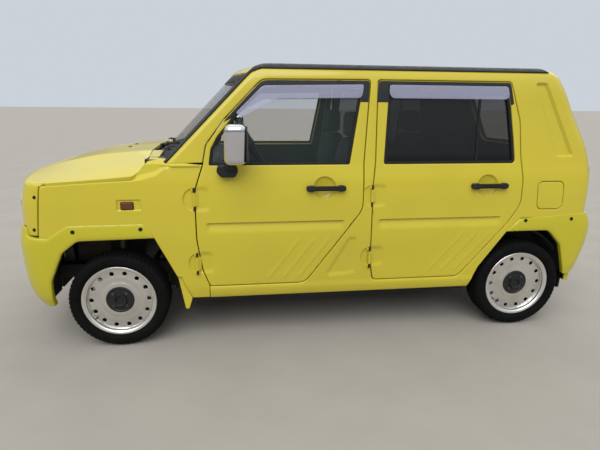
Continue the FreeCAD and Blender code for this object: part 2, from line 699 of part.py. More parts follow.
# Front panel with round lamp holes and a wide grille
panel_side = side(sharp((370.0, 930.0 - BONNET_GAP), (370.0, 656.0), (425.0, 656.0),
                        (436.0, 704.0), (NOSE_X + 20.0, 704.0), (NOSE_X + 20.0, 918.0)),
                  -FAR, FAR)
front_panel = nose_skin.cut(nose_inner).common(panel_side)
for y in (LAMP_Y, -LAMP_Y):
    front_panel = front_panel.cut(rod((300.0, y, LAMP_Z), (600.0, y, LAMP_Z), LAMP_R))
grille_hole = front([(-GRILLE_HALF, GRILLE_LOW, 20.0), (-GRILLE_HALF, GRILLE_HIGH, 20.0),
                     (GRILLE_HALF, GRILLE_HIGH, 20.0), (GRILLE_HALF, GRILLE_LOW, 20.0)],
                    300.0, 600.0)
front_panel = front_panel.cut(grille_hole)
put("front_panel", front_panel)

# Grille: a backing behind the hole, with bars across it
GRILLE_BARS = 4
grille = nose(PANEL_T + FIT).cut(nose(PANEL_T + 9.0)).common(front(
    sharp((-GRILLE_HALF - 12.0, GRILLE_LOW - 12.0), (-GRILLE_HALF - 12.0, GRILLE_HIGH + 12.0),
          (GRILLE_HALF + 12.0, GRILLE_HIGH + 12.0), (GRILLE_HALF + 12.0, GRILLE_LOW - 12.0)),
    300.0, 600.0))
bar_wall = nose(8.0).cut(nose(PANEL_T + 4.0))
pitch = (GRILLE_HIGH - GRILLE_LOW) / (GRILLE_BARS + 1)
for i in range(GRILLE_BARS):
    z = GRILLE_LOW + pitch * (i + 1)
    grille = grille.fuse(bar_wall.common(box(300.0, 600.0, -GRILLE_HALF + 4.0,
                                             GRILLE_HALF - 4.0, z - 5.0, z + 5.0)))
put("grille", grille)

# Lamps: round ones in the front panel, upright ones beside the tailgate, turn lamps
LAMP_FACE_X = 508.0
LAMP_BACK_X = 431.0
head_lamp = rod((LAMP_BACK_X, LAMP_Y, LAMP_Z), (LAMP_FACE_X, LAMP_Y, LAMP_Z), LAMP_R - FIT)
put("head_lamps", head_lamp, mirrored(head_lamp))
TAIL_LAMP = [(612.0, 760.0, 12.0), (612.0, 990.0, 12.0), (690.0, 990.0, 20.0),
             (690.0, 760.0, 20.0)]
tail_lamp_zone = front(TAIL_LAMP, TAIL_X - 50.0, TAIL_X + 140.0)
tail_lamp = body(-3.0).cut(body(24.0)).common(tail_lamp_zone)
frame = frame.cut(front([(612.0 - FIT, 760.0 - FIT, 12.0), (612.0 - FIT, 990.0 + FIT, 12.0),
                         (690.0 + FIT, 990.0 + FIT, 20.0), (690.0 + FIT, 760.0 - FIT, 20.0)],
                        TAIL_X - 50.0, TAIL_X + 140.0).common(body(-3.0).cut(body(24.0 + FIT))))
put("tail_lamps", tail_lamp, mirrored(tail_lamp))
flap_hole = joined(side(FLAP, 700.0, FAR).common(body(0.0).cut(body(FLAP_RECESS))),
                   grown_side(FLAP, DOOR_GAP, 708.0, FAR))
put("side_frames", frame.cut(flap_hole), mirrored(frame))

# Bonnet
nose_plan = Part.Face(ring(850.0, 724.0, NOSE_X - 50.0, NOSE_BACK_X, NOSE_R, 10.0, NOSE_BOW,
                           1.0)).extrude(Vector(0, 0, 300.0))
nose_plan_in = Part.Face(ring(850.0, 724.0 - BONNET_T, NOSE_X - 50.0 - BONNET_T, NOSE_BACK_X,
                              NOSE_R - BONNET_T, 10.0, NOSE_BOW, 1.0)).extrude(
                                  Vector(0, 0, 300.0))
bonnet = bonnet_hill(0.0, 0.0).common(nose_plan)
bonnet = bonnet.cut(bonnet_hill(BONNET_T, BONNET_T).common(nose_plan_in))
bonnet = bonnet.common(side(BONNET_CUT, -FAR, FAR))

# Bonnet hinges: a pin in the bonnet crosses each slot, in which an ear of the cowl stands
EAR_HALF = 4.0
EAR_SLOT_HALF = 9.0
bonnet_pin = rod((BONNET_HINGE_X, BONNET_HINGE_Y - 14.0, BONNET_HINGE_Z),
                 (BONNET_HINGE_X, BONNET_HINGE_Y + 14.0, BONNET_HINGE_Z), BONNET_PIN_R)
bonnet_slot = box(BONNET_REAR_X - 20.0, BONNET_REAR_X + 18.0, BONNET_HINGE_Y - EAR_SLOT_HALF,
                  BONNET_HINGE_Y + EAR_SLOT_HALF, 1000.0, 1100.0)
bonnet = bonnet.cut(joined(bonnet_slot, mirrored(bonnet_slot)))
bonnet = joined(bonnet, bonnet_pin, mirrored(bonnet_pin))
put("bonnet", bonnet)

# Bumpers with the flares on their ends, lying on the panels
INTAKE = [(-310.0, 300.0, 20.0), (-290.0, 420.0, 20.0), (290.0, 420.0, 20.0),
          (310.0, 300.0, 20.0)]
front_bumper = belt_out.common(side(FRONT_BUMPER_SIDE, -FAR, FAR))
front_bumper = front_bumper.cut(belt_in.common(joined(
    box(351.0, 700.0, -FAR, FAR, 200.0, 800.0), box(300.0, 400.0, -FAR, FAR, 200.0, 263.0))))
front_bumper = front_bumper.cut(nose(-FIT).common(box(-400.0, 352.0, -FAR, FAR, 200.0, 800.0)))
front_bumper = front_bumper.cut(nose(-FIT).common(box(340.0, 440.0, -FAR, FAR, 650.0, 800.0)))
front_bumper = front_bumper.cut(front(INTAKE, 400.0, 600.0))
front_bumper = front_bumper.cut(box(NOSE_X - PLATE_SET, NOSE_X + 50.0, -PLATE_HALF, PLATE_HALF,
                                    FRONT_PLATE_Z - PLATE_HEIGHT, FRONT_PLATE_Z))
for y in (PLATE_HOLE_Y, -PLATE_HOLE_Y):
    z = FRONT_PLATE_Z - PLATE_HOLE_DROP
    front_bumper = front_bumper.cut(rod((NOSE_X - 90.0, y, z), (NOSE_X + 50.0, y, z),
                                        PLATE_HOLE_R))
put("front_bumper", front_bumper)
rear_bumper = belt_out.common(side(REAR_BUMPER_SIDE, -FAR, FAR))
rear_bumper = rear_bumper.cut(belt_in.common(
    box(TAIL_X - 50.0, REAR_X - 317.0, -FAR, FAR, 200.0, 800.0)))
rear_bumper = rear_bumper.cut(body(-FIT).common(box(REAR_X - 318.0, REAR_X + 300.0, -FAR, FAR,
                                                    200.0, 800.0)))
put("rear_bumper", rear_bumper)

# Rear mud flaps inside the bumper's ends
rear_flap = joined(
    bumper(BUMPER_T + 0.9).common(box(REAR_X - 356.0, REAR_X - 344.0, 560.0, FAR, 316.0, 430.0)),
    box(REAR_X - 356.0, REAR_X - 344.0, 560.0, 640.0, 190.0, 420.0),
    box(REAR_X - 356.0, REAR_X - 344.0, 560.0, 690.0, 262.0, 316.0))
put("mud_flaps", front_flap, mirrored(front_flap), rear_flap, mirrored(rear_flap))

# Mouldings along the pillar and the roof's edge
TRIM_T = 8.0
trim_wall = body(-TRIM_T).cut(body(-FIT))
pillar_band = side(sharp((-268.0, 1023.0), (-735.0, 1503.0), (-790.0, 1528.0),
                         (-800.0, 1516.0), (-748.0, 1488.0), (-290.0, 1016.0)), 600.0, FAR)
pillar_band = pillar_band.cut(box(-400.0, -200.0, 0.0, 642.0, 1000.0, 1050.0))
roof_band = box(-2440.0, -760.0, 588.0, FAR, 1510.0, 1600.0)
trim = trim_wall.common(joined(pillar_band, roof_band))
put("roof_mouldings", trim, mirrored(trim))

# Floor pan
FLOOR_Z = 222.0
FLOOR_T = 28.0
FLOOR_HALF = 641.6
RAIL_IN = 330.0
RAIL_OUT = 392.0
TOWER_Z = 812.0
LOAD_FLOOR_Z = 430.0
HOUSE_R = 340.0
HOUSE_T = 12.0
HOUSE_IN_Y = 468.0
HOUSE_OUT_Y = 644.0
BULK_X = -290.0

# Lifting pads under the sills, and the towing eye under the front cross member
JACK_FRONT_X = -560.0
JACK_REAR_X = -1900.0
JACK_Y = 585.0
JACK_PAD_T = 8.0
TOW_X = 428.0
TOW_Y = -250.0
TOW_Z = 216.0
TOW_T = 12.0
TOW_EYE_R = 13.0


def both(shape):
    return [shape, mirrored(shape)]


def kingpin_point(z):
    """Point on the left steering axis at height z."""
    return Vector(0, BALL_JOINT_Y - math.tan(KINGPIN_LEAN) * (z - BALL_JOINT_Z), z)


def kingpin_rod(low, high, radius):
    return rod(kingpin_point(low), kingpin_point(high), radius)


bonnet_ear = joined(
    rod((BONNET_HINGE_X, BONNET_HINGE_Y - EAR_HALF, BONNET_HINGE_Z),
        (BONNET_HINGE_X, BONNET_HINGE_Y + EAR_HALF, BONNET_HINGE_Z), BONNET_PIN_R + 4.0),
    box(-190.0, BONNET_HINGE_X - 2.0, BONNET_HINGE_Y - EAR_HALF, BONNET_HINGE_Y + EAR_HALF,
        1036.0, BONNET_HINGE_Z + 2.0))
FLOOR_TOP_Z = FLOOR_Z + FLOOR_T
STEP_X = REAR_X + 318.0
BULK_FRONT_X = BULK_X + 20.0

# Room for the steered tyres in the lower corners of the bulkhead and the floor
ARCH_X = -325.0
ARCH_IN_Y = 450.0
ARCH_TOP_Z = 640.0
ARCH_T = 12.0
BULK_HALF = 586.0


def jack_pad(x):
    return box(x - 30.0, x + 30.0, JACK_Y - 20.0, JACK_Y + 20.0, FLOOR_Z - JACK_PAD_T, FLOOR_Z)


put("floor_pan", joined(
    box(STEP_X, FLAP_TAIL_X - FIT, -FLOOR_HALF, FLOOR_HALF, FLOOR_Z, FLOOR_TOP_Z),
    box(FLAP_TAIL_X - 1.0, ARCH_X, -FLAP_IN_Y + 1.0, FLAP_IN_Y - 1.0, FLOOR_Z, FLOOR_TOP_Z),
    box(ARCH_X, BULK_FRONT_X, -ARCH_IN_Y, ARCH_IN_Y, FLOOR_Z, FLOOR_TOP_Z),
    *both(jack_pad(JACK_FRONT_X)), *both(jack_pad(JACK_REAR_X))))

# Bulkhead with the cowl under the windscreen
bulkhead = joined(
    box(BULK_X, BULK_FRONT_X, -ARCH_IN_Y, ARCH_IN_Y, FLOOR_TOP_Z + FIT, 960.0),
    box(BULK_X, BULK_FRONT_X, -BULK_HALF, BULK_HALF, ARCH_TOP_Z - ARCH_T, 960.0),
    *both(box(ARCH_X - ARCH_T, ARCH_X, ARCH_IN_Y - ARCH_T, BULK_HALF, FLOOR_TOP_Z + FIT,
              ARCH_TOP_Z)),
    *both(box(ARCH_X - ARCH_T, BULK_X + 1.0, ARCH_IN_Y - ARCH_T, ARCH_IN_Y, FLOOR_TOP_Z + FIT,
              ARCH_TOP_Z)),
    *both(box(ARCH_X - ARCH_T, BULK_X + 1.0, ARCH_IN_Y - ARCH_T, BULK_HALF,
              ARCH_TOP_Z - ARCH_T, ARCH_TOP_Z)),
    box(BULK_X, -178.0, -640.0, 640.0, 950.0, 962.0),
    box(-190.0, -178.0, -640.0, 640.0, 950.0, 1039.6),
    box(-330.0, -178.0, -640.0, 640.0, 1024.0, 1039.6),
    *both(bonnet_ear))
pin_hole = rod((BONNET_HINGE_X, BONNET_HINGE_Y - 20.0, BONNET_HINGE_Z),
               (BONNET_HINGE_X, BONNET_HINGE_Y + 20.0, BONNET_HINGE_Z), BONNET_PIN_R + 0.3)
put("bulkhead", bulkhead.cut(pin_hole).cut(mirrored(pin_hole)))

# Front rails, with their horns ahead of the front frame
FRAME_BACK_X = 400.0
FRAME_FRONT_X = 430.0
RAIL_BACK_X = BULK_FRONT_X + FIT
front_rail = joined(box(RAIL_BACK_X, FRAME_BACK_X - FIT, RAIL_IN, RAIL_OUT, 300.0, 380.0),
                    box(RAIL_BACK_X, RAIL_BACK_X + 40.0, RAIL_IN, RAIL_OUT, FLOOR_Z, 340.0))
rail_horn = box(FRAME_FRONT_X + FIT, FRAME_FRONT_X + 40.0, RAIL_IN, RAIL_OUT, 300.0, 380.0)
put("front_rails", front_rail, mirrored(front_rail), rail_horn, mirrored(rail_horn))

# Front frame across the rails' ends, with the towing eye
frame_parts = [
    box(FRAME_BACK_X, FRAME_FRONT_X, -640.0, 640.0, 648.0, 702.0),
    box(FRAME_BACK_X, FRAME_FRONT_X, -RAIL_OUT, RAIL_OUT, 240.0, 290.0),
    box(FRAME_BACK_X - 2.0, TOW_X + 24.0, TOW_Y - TOW_T / 2, TOW_Y + TOW_T / 2, TOW_Z - 22.0,
        242.0),
]
for shape in [box(FRAME_BACK_X, FRAME_FRONT_X, RAIL_IN, RAIL_OUT, 240.0, 702.0),
              box(FRAME_BACK_X, FRAME_FRONT_X, 606.0, 640.0, 648.0, TOWER_Z - 30.0 - FIT),
              box(FRAME_BACK_X, FRAME_FRONT_X, 430.0, 450.0, 690.0, TOWER_Z - 40.0),
              box(FRAME_BACK_X, FRAME_FRONT_X, 430.0, 600.0, TOWER_Z - 60.0, TOWER_Z - 40.0)]:
    frame_parts += both(shape)
front_frame = joined(*frame_parts)
front_frame = front_frame.cut(rod((TOW_X, TOW_Y - 20.0, TOW_Z), (TOW_X, TOW_Y + 20.0, TOW_Z),
                                  TOW_EYE_R))
put("front_frame", front_frame)

# Strut towers beside the rails, with the upper rails of the wheelhouses
strut_tower = joined(
    box(-100.0, 100.0, RAIL_OUT + FIT, RAIL_OUT + 20.0, 340.0, TOWER_Z + 18.0),
    box(-100.0, 100.0, RAIL_OUT + FIT, 690.0, TOWER_Z, TOWER_Z + 18.0),
    box(RAIL_BACK_X, 320.0, 640.0, 690.0, TOWER_Z - 30.0, TOWER_Z + 18.0),
    box(RAIL_BACK_X, RAIL_BACK_X + 20.0, 560.0, 690.0, 700.0, TOWER_Z + 18.0),
    box(310.0, FRAME_FRONT_X, 600.0, 641.0, TOWER_Z - 30.0, TOWER_Z + 18.0))
strut_tower = strut_tower.cut(kingpin_rod(780.0, 860.0, 10.6))
put("strut_towers", strut_tower, mirrored(strut_tower))

# Rear floor with its step, rails, wheelhouses and back panel
rear_parts = [
    box(STEP_X, STEP_X + 12.0, -FLOOR_HALF, FLOOR_HALF, FLOOR_TOP_Z + FIT, 442.0),
    box(TAIL_X + 95.0, STEP_X + 12.0, -HOUSE_IN_Y - 6.0, HOUSE_IN_Y + 6.0, LOAD_FLOOR_Z,
        LOAD_FLOOR_Z + 24.0),
    box(TAIL_X + 90.0, TAIL_X + 106.0, -590.0, 590.0, 412.0, 715.0),
    *both(box(TAIL_X + 130.0, STEP_X, 380.0, 440.0, 340.0, LOAD_FLOOR_Z + 1.0)),
]
house_ring = Part.makeCylinder(HOUSE_R, HOUSE_OUT_Y - HOUSE_IN_Y,
                               Vector(REAR_X, HOUSE_IN_Y, AXLE_Z), Vector(0, 1, 0))
house_ring = house_ring.cut(Part.makeCylinder(
    HOUSE_R - HOUSE_T, HOUSE_OUT_Y - HOUSE_IN_Y, Vector(REAR_X, HOUSE_IN_Y + HOUSE_T, AXLE_Z),
    Vector(0, 1, 0)))
house_ring = house_ring.common(box(REAR_X - 400.0, REAR_X + 400.0, 0.0, FAR, 336.0, 700.0))
put("rear_floor", joined(*rear_parts, *both(house_ring)))

# Front subframe with the lower arms
arm_plan = plan([(-28.0, 600.0, 26.0), (28.0, 600.0, 26.0), (110.0, 250.0, 0.0),
                 (40.0, 250.0, 20.0), (0.0, 440.0, 20.0), (-40.0, 250.0, 20.0),
                 (-110.0, 250.0, 0.0)], 176.0, 194.0)
eye_hole = kingpin_rod(150.0, 220.0, 12.06)
arm_plan = arm_plan.cut(eye_hole)
subframe = joined(box(-90.0, 90.0, -262.0, 262.0, 172.0, 250.0),
                  *both(arm_plan),
                  *both(box(-60.0, 60.0, 240.0, RAIL_OUT - 4.0, 196.0, 248.0)),
                  *both(box(-60.0, 60.0, RAIL_IN, RAIL_OUT - 4.0, 196.0, 299.6)))
put("front_subframe", subframe)

# Knuckles: carrier, ball pin, strut along the steering axis and stub axle
STUB_R = 15.0
HUB_IN_Y = 604.0
STUB_END_Y = 660.0
knuckle = joined(rod((0, 556.0, AXLE_Z), (0, 598.0, AXLE_Z), 48.0),
                 rod((0, 590.0, AXLE_Z), (0, STUB_END_Y, AXLE_Z), STUB_R),
                 kingpin_rod(172.0, 235.0, 12.0),
                 box(-20.0, 20.0, 562.0, 600.0, 204.0, 262.0),
                 kingpin_rod(290.0, 640.0, 22.0),
                 kingpin_rod(630.0, 852.0, 10.0))
put("knuckle_left", knuckle)
put("knuckle_right", mirrored(knuckle))

# Wheels. Tyre and rim profiles. Columns: radius, distance from the wheel's middle plane.
BEAD_R = RIM_R + 0.2
TYRE_SIDE = [
    (BEAD_R, 59.6),
    (FLANGE_R + 0.4, 62.6),
    (TYRE_R - 42.0, TYRE_WIDTH / 2),
    (TYRE_R - 10.0, TYRE_WIDTH / 2 - 6.0),
    (TYRE_R, TYRE_WIDTH / 2 - 26.0),
]
DISC_Y = 34.0
DISC_T = 8.0
HOLE_COUNT = 14
HOLE_R = 12.0
HOLE_CIRCLE_R = 155.0
CAP_R = 80.0
DRUM_R = 68.0


def turned(profile, x, y):
    """Solid of revolution about the wheel's axis. Profile: radius, offset along y."""
    points = [Vector(x + r, y + a, AXLE_Z) for r, a in profile]
    face = Part.Face(Part.makePolygon(points + points[:1]))
    return face.revolve(Vector(x, y, AXLE_Z), Vector(0, 1, 0), 360)


def tyre(x):
    profile = TYRE_SIDE + [(r, -a) for r, a in reversed(TYRE_SIDE)]
    return turned(profile, x, TRACK_HALF)


def rim(x):
    """Wheel with its disc, black hub cap, hub and brake drum as one turned solid."""
    hub_in = HUB_IN_Y - TRACK_HALF
    bore_end = STUB_END_Y - TRACK_HALF + 4.0
    bore = STUB_R + 0.06
    well = RIM_R - 8.0
    face = DISC_Y + DISC_T
    whole = turned([(0.0, bore_end), (0.0, face + 16.0), (CAP_R - 12.0, face + 16.0),
                    (CAP_R, face + 8.0), (CAP_R, face), (well, face), (well, 68.0),
                    (FLANGE_R, 68.0), (FLANGE_R, 63.0), (RIM_R, 60.0), (RIM_R, -60.0),
                    (FLANGE_R, -63.0), (FLANGE_R, -68.0), (well, -68.0), (well, DISC_Y),
                    (40.0, DISC_Y), (40.0, hub_in + 24.0), (DRUM_R, hub_in + 24.0),
                    (DRUM_R, hub_in), (bore, hub_in), (bore, bore_end)], x, TRACK_HALF)
    holes = []
    for i in range(HOLE_COUNT):
        angle = 2 * math.pi * (i + 0.5) / HOLE_COUNT
        cx = x + HOLE_CIRCLE_R * math.cos(angle)
        cz = AXLE_Z + HOLE_CIRCLE_R * math.sin(angle)
        holes.append(rod((cx, TRACK_HALF + DISC_Y - 5.0, cz), (cx, TRACK_HALF + 60.0, cz),
                         HOLE_R))
    return whole.cut(holes)


for end, x in (("front", 0.0), ("rear", REAR_X)):
    for name, flip in (("left", lambda shape: shape), ("right", mirrored)):
        put("tyre_" + end + "_" + name, flip(tyre(x)))
        put("rim_" + end + "_" + name, flip(rim(x)))

# Rear axle: beam, trailing arms, springs and stubs
rear_parts = [rod((REAR_X, -590.0, AXLE_Z), (REAR_X, 590.0, AXLE_Z), 30.0)]
for shape in [rod((REAR_X, 588.0, AXLE_Z), (REAR_X, 598.0, AXLE_Z), 95.0),
              rod((REAR_X, 590.0, AXLE_Z), (REAR_X, STUB_END_Y, AXLE_Z), STUB_R),
              box(REAR_X, REAR_X + 317.6, 380.0, 420.0, 250.0, 290.0),
              Part.makeCylinder(44.0, 339.6 - AXLE_Z, Vector(REAR_X, 410.0, AXLE_Z))]:
    rear_parts += both(shape)
put("rear_axle", joined(*rear_parts))

# Engine, radiator, exhaust and tank
put("engine", box(-60.0, 320.0, -322.0, 322.0, 250.4, 720.0))
put("radiator", box(344.0, 400.0 - FIT, -RAIL_IN + FIT, RAIL_IN - FIT, 284.0, 644.0))
PIPE_Y = 150.0
exhaust = joined(rod((-95.0, PIPE_Y, 199.6), (REAR_X - 170.0, PIPE_Y, 199.6), 22.0),
                 box(REAR_X - 350.0, REAR_X - 165.0, PIPE_Y - 95.0, PIPE_Y + 95.0, 192.0, 300.0),
                 box(REAR_X - 290.0, REAR_X - 260.0, PIPE_Y - 12.0, PIPE_Y + 12.0, 290.0,
                     LOAD_FLOOR_Z - FIT),
                 rod((REAR_X - 345.0, PIPE_Y, 212.0), (TAIL_X + 60.0, PIPE_Y, 212.0), 18.0))
put("exhaust", exhaust)
put("fuel_tank", box(-1960.0, -1500.0, -430.0, 110.0, 158.0, FLOOR_Z - FIT))

# Dashboard with the steering column
SHAFT = Vector(-math.cos(COLUMN_LEAN), 0, math.sin(COLUMN_LEAN))
WHEEL_R = 180.0
column_end = STEERING_WHEEL - SHAFT * 24.0
column_start = STEERING_WHEEL - SHAFT * 150.0
dash = side([(BULK_X, 1012.0, 0.0), (BULK_X, 800.0, 0.0), (-500.0, 690.0, 40.0),
             (-640.0, 760.0, 40.0), (-690.0, 990.0, 50.0), (-560.0, 1014.0, 40.0)],
            -585.0, 585.0)
dash = dash.common(box(-720.0, BULK_X - FIT, -585.0, 585.0, 600.0, 1100.0))
console = side([(BULK_X - FIT, 800.0, 0.0), (BULK_X - FIT, 400.0, 0.0), (-560.0, 400.0, 30.0),
                (-600.0, 740.0, 30.0)], -110.0, 110.0)
dash = joined(dash, console, rod(column_start, column_end, 30.0))
put("dashboard", dash)

# Steering wheel: rim, three spokes and hub
wheel_ring = Part.makeTorus(WHEEL_R, 14.0, STEERING_WHEEL, SHAFT)
hub = Part.makeCylinder(46.0, 40.0, STEERING_WHEEL - SHAFT * (24.0 - FIT), SHAFT)
spokes = []
across = Vector(0, 1, 0)
down = SHAFT.cross(across)
for angle in (0.0, 180.0, 90.0):
    a = math.radians(angle)
    reach = across * math.cos(a) + down * math.sin(a)
    spokes.append(rod(STEERING_WHEEL, STEERING_WHEEL + reach * WHEEL_R, 11.0))
put("steering_wheel", joined(wheel_ring, hub, *spokes))

# Seats
SEAT_Y = 330.0
SEAT_HALF = 235.0


def front_seat(y):
    cushion = side([(-900.0, 500.0, 40.0), (-890.0, 610.0, 50.0), (-1250.0, 590.0, 30.0),
                    (-1340.0, 1120.0, 60.0), (-1450.0, 1130.0, 50.0), (-1400.0, 500.0, 60.0)],
                   y - SEAT_HALF, y + SEAT_HALF)
    head = side([(-1345.0, 1130.0, 40.0), (-1325.0, 1286.0, 50.0), (-1425.0, 1290.0, 45.0),
                 (-1430.0, 1140.0, 40.0)], y - 125.0, y + 125.0)
    post = box(-1400.0, -1370.0, y - 40.0, y + 40.0, 1100.0, 1160.0)
    base = box(-1330.0, -940.0, y - 200.0, y + 200.0, FLOOR_TOP_Z + FIT, 510.0)
    return joined(cushion, head, post, base)


put("front_seats", front_seat(SEAT_Y), front_seat(-SEAT_Y))

rear_bench = side([(-1560.0, 500.0, 40.0), (-1550.0, 620.0, 50.0), (-1880.0, 600.0, 30.0),
                   (-1930.0, 1090.0, 50.0), (-2030.0, 1100.0, 50.0), (-2000.0, 500.0, 50.0)],
                  -570.0, 570.0)
rear_base = box(-1960.0, -1620.0, -540.0, 540.0, FLOOR_TOP_Z + FIT, 510.0)
rear_heads = []
for y in (-310.0, 310.0):
    rear_heads.append(side([(-1900.0, 1100.0, 30.0), (-1880.0, 1272.0, 45.0),
                            (-1970.0, 1277.0, 45.0), (-1985.0, 1110.0, 30.0)],
                           y - 120.0, y + 120.0))
    rear_heads.append(box(-1960.0, -1930.0, y - 40.0, y + 40.0, 1060.0, 1130.0))
put("rear_seat", joined(rear_bench, rear_base, *rear_heads))

# Wipers on the windscreen
WIPER_OFF = 28.0


def screen_point(y, z, off):
    """Point in front of the windscreen, off its outer surface."""
    bow = SCREEN_BOW * (y / (half_width(z) - A_CORNER_R)) ** 2
    normal = Vector(SCREEN_RUN, 0, 1)
    normal.normalize()
    normal = Vector(normal.z, 0, normal.x)
    return Vector(screen_x(z) - bow, y, z) + normal * off


def wiper(pivot_y, tip_y, low_z, tip_z):
    pivot = screen_point(pivot_y, low_z, 21.0)
    tip = screen_point(tip_y, tip_z, WIPER_OFF)
    base = rod(Vector(pivot.x + 4.0, pivot_y, 1040.0), pivot + Vector(4.0, 0, 20.0), 9.0)
    return joined(base, rod(pivot + Vector(4.0, 0, 10.0), tip, 6.0))


put("wipers", wiper(185.0, 560.0, 1060.0, 1100.0), wiper(-300.0, 120.0, 1058.0, 1090.0))
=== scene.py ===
import math
import bmesh
import bpy
import numpy as np
from mathutils import Matrix, Vector
from mathutils.geometry import delaunay_2d_cdt


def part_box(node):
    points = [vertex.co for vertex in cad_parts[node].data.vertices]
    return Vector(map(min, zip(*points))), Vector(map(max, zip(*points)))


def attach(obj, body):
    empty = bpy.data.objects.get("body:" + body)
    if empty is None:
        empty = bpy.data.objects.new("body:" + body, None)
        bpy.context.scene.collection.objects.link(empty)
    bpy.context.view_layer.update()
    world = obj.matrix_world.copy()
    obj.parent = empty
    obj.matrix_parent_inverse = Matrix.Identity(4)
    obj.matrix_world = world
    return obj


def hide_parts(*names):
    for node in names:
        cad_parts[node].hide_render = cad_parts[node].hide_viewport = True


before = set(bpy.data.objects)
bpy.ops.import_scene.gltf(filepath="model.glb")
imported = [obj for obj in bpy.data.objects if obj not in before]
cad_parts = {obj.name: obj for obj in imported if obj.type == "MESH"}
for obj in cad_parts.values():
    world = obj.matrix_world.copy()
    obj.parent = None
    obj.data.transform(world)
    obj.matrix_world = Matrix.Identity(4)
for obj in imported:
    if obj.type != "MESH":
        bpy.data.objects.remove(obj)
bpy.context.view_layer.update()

# The tables below are in millimetres from the front axle (+X forward, +Z up), as the car
# is drawn. place() turns them into the frame's metres.
MM = 0.001
TYRE_LOW, TYRE_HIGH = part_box("tyre_front_left")
REAR_LOW, REAR_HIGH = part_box("tyre_rear_left")
FRONT_AXLE = (TYRE_LOW[0] + TYRE_HIGH[0]) / 2
AXLE_Z = (TYRE_LOW[2] + TYRE_HIGH[2]) / 2 / MM
WHEELBASE = (FRONT_AXLE - (REAR_LOW[0] + REAR_HIGH[0]) / 2) / MM
REAR_X = -WHEELBASE
NOSE_X = (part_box("front_bumper")[1][0] - FRONT_AXLE) / MM
TAIL_X = (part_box("rear_bumper")[0][0] - FRONT_AXLE) / MM
TRACK_HALF = (TYRE_LOW[1] + TYRE_HIGH[1]) / 2 / MM
ROOF_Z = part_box("roof")[1][2] / MM
FLARE_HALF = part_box("front_bumper")[1][1] / MM

# Panels: a door's thickness, the radius of a pressed edge, the gap round a door
DOOR_T = 60.0
EDGE_R = 2.8
DOOR_GAP = 6.0
# Lines that several outlines share
DOOR_FRONT_X = -440.0
PILLAR_X = -1390.0
SILL_TOP_Z = 338.0
DOOR_TOP_Z = 1460.0
BELT_Z = 1022.0
TAILGATE_HALF = 588.0
ROOF_EDGE_Z = 1512.0
# u about where the tail's corners start
TAIL_CORNER_U = -2700.0
# Plan of the car's ends: corner radii, and how far each end bows out in its middle
NOSE_R = 150.0
NOSE_BOW = 60.0
TAIL_R = 70.0
TAIL_BOW = 22.0

# Body sections by height. Columns: z, half width, how far the tail stands ahead of the
# bumper's tail, how far the roof's front stands behind the windscreen's plane.
BODY_LEVELS = [
    (262.0, 702.0, 60.0, 0.0),
    (335.0, 716.0, 50.0, 0.0),
    (450.0, 722.0, 44.0, 0.0),
    (640.0, 731.0, 42.0, 0.0),
    (800.0, 731.0, 40.0, 0.0),
    (900.0, 727.0, 40.0, 0.0),
    (BELT_Z, 708.0, 54.0, 0.0),
    (1300.0, 666.0, 175.0, 0.0),
    (1450.0, 644.0, 245.0, 0.0),
    (ROOF_EDGE_Z, 622.0, 290.0, 4.0),
    (1532.0, 590.0, 345.0, 30.0),
    (1550.0, 470.0, 560.0, 240.0),
]
SCREEN_RUN = 0.974
SCREEN_BASE_X = -215.0
SCREEN_BASE_Z = 1065.0
SCREEN_FOOT_Z = 940.0
SCREEN_BOW = 104.0
# Nose sections. Columns: z, how far behind the bumper's front.
NOSE_LEVELS = [(262.0, 70.0), (335.0, 50.0), (450.0, 35.0), (640.0, 26.0), (800.0, 30.0),
               (900.0, 48.0), (965.0, 80.0)]
# Bumper sections. Columns: z, half width, behind the front, ahead of the tail.
BUMPER_LEVELS = [
    (236.0, 690.0, 50.0, 90.0),
    (305.0, 716.0, 24.0, 66.0),
    (400.0, 730.0, 8.0, 34.0),
    (605.0, FLARE_HALF, 0.0, 0.0),
    (652.0, FLARE_HALF, 8.0, 4.0),
    (714.0, 733.5, 18.0, 34.0),
]

# Side outlines. Columns: x, z, corner radius.
FRONT_DOOR = [
    (DOOR_FRONT_X - 60.0, SILL_TOP_Z, 15.0),
    (DOOR_FRONT_X - 22.0, 440.0, 120.0),
    (DOOR_FRONT_X, 620.0, 200.0),
    (DOOR_FRONT_X, 880.0, 200.0),
    (DOOR_FRONT_X - 45.0, BELT_Z - 10.0, 60.0),
    (DOOR_FRONT_X - 66.0, 1120.0, 60.0),
    (DOOR_FRONT_X - 170.0, 1256.0, 80.0),
    (DOOR_FRONT_X - 365.0, DOOR_TOP_Z - 5.0, 70.0),
    (PILLAR_X, DOOR_TOP_Z, 14.0),
    (PILLAR_X + 35.0, BELT_Z, 100.0),
    (PILLAR_X + 35.0, 765.0, 120.0),
    (PILLAR_X + 356.0, SILL_TOP_Z, 70.0),
]
REAR_DOOR = [
    (PILLAR_X - 48.0, DOOR_TOP_Z, 12.0),
    (PILLAR_X - 37.0, BELT_Z, 60.0),
    (PILLAR_X - 24.0, 900.0, 150.0),
    (PILLAR_X - 28.0, 450.0, 150.0),
    (PILLAR_X - 50.0, SILL_TOP_Z, 20.0),
    (REAR_X + 397.0, SILL_TOP_Z, 60.0),
    (REAR_X + 115.0, 680.0, 80.0),
    (REAR_X + 57.0, 775.0, 120.0),
    (REAR_X + 57.0, 920.0, 150.0),
    (REAR_X + 77.0, 1060.0, 100.0),
    (REAR_X + 90.0, 1250.0, 200.0),
    (REAR_X + 152.0, DOOR_TOP_Z, 15.0),
]
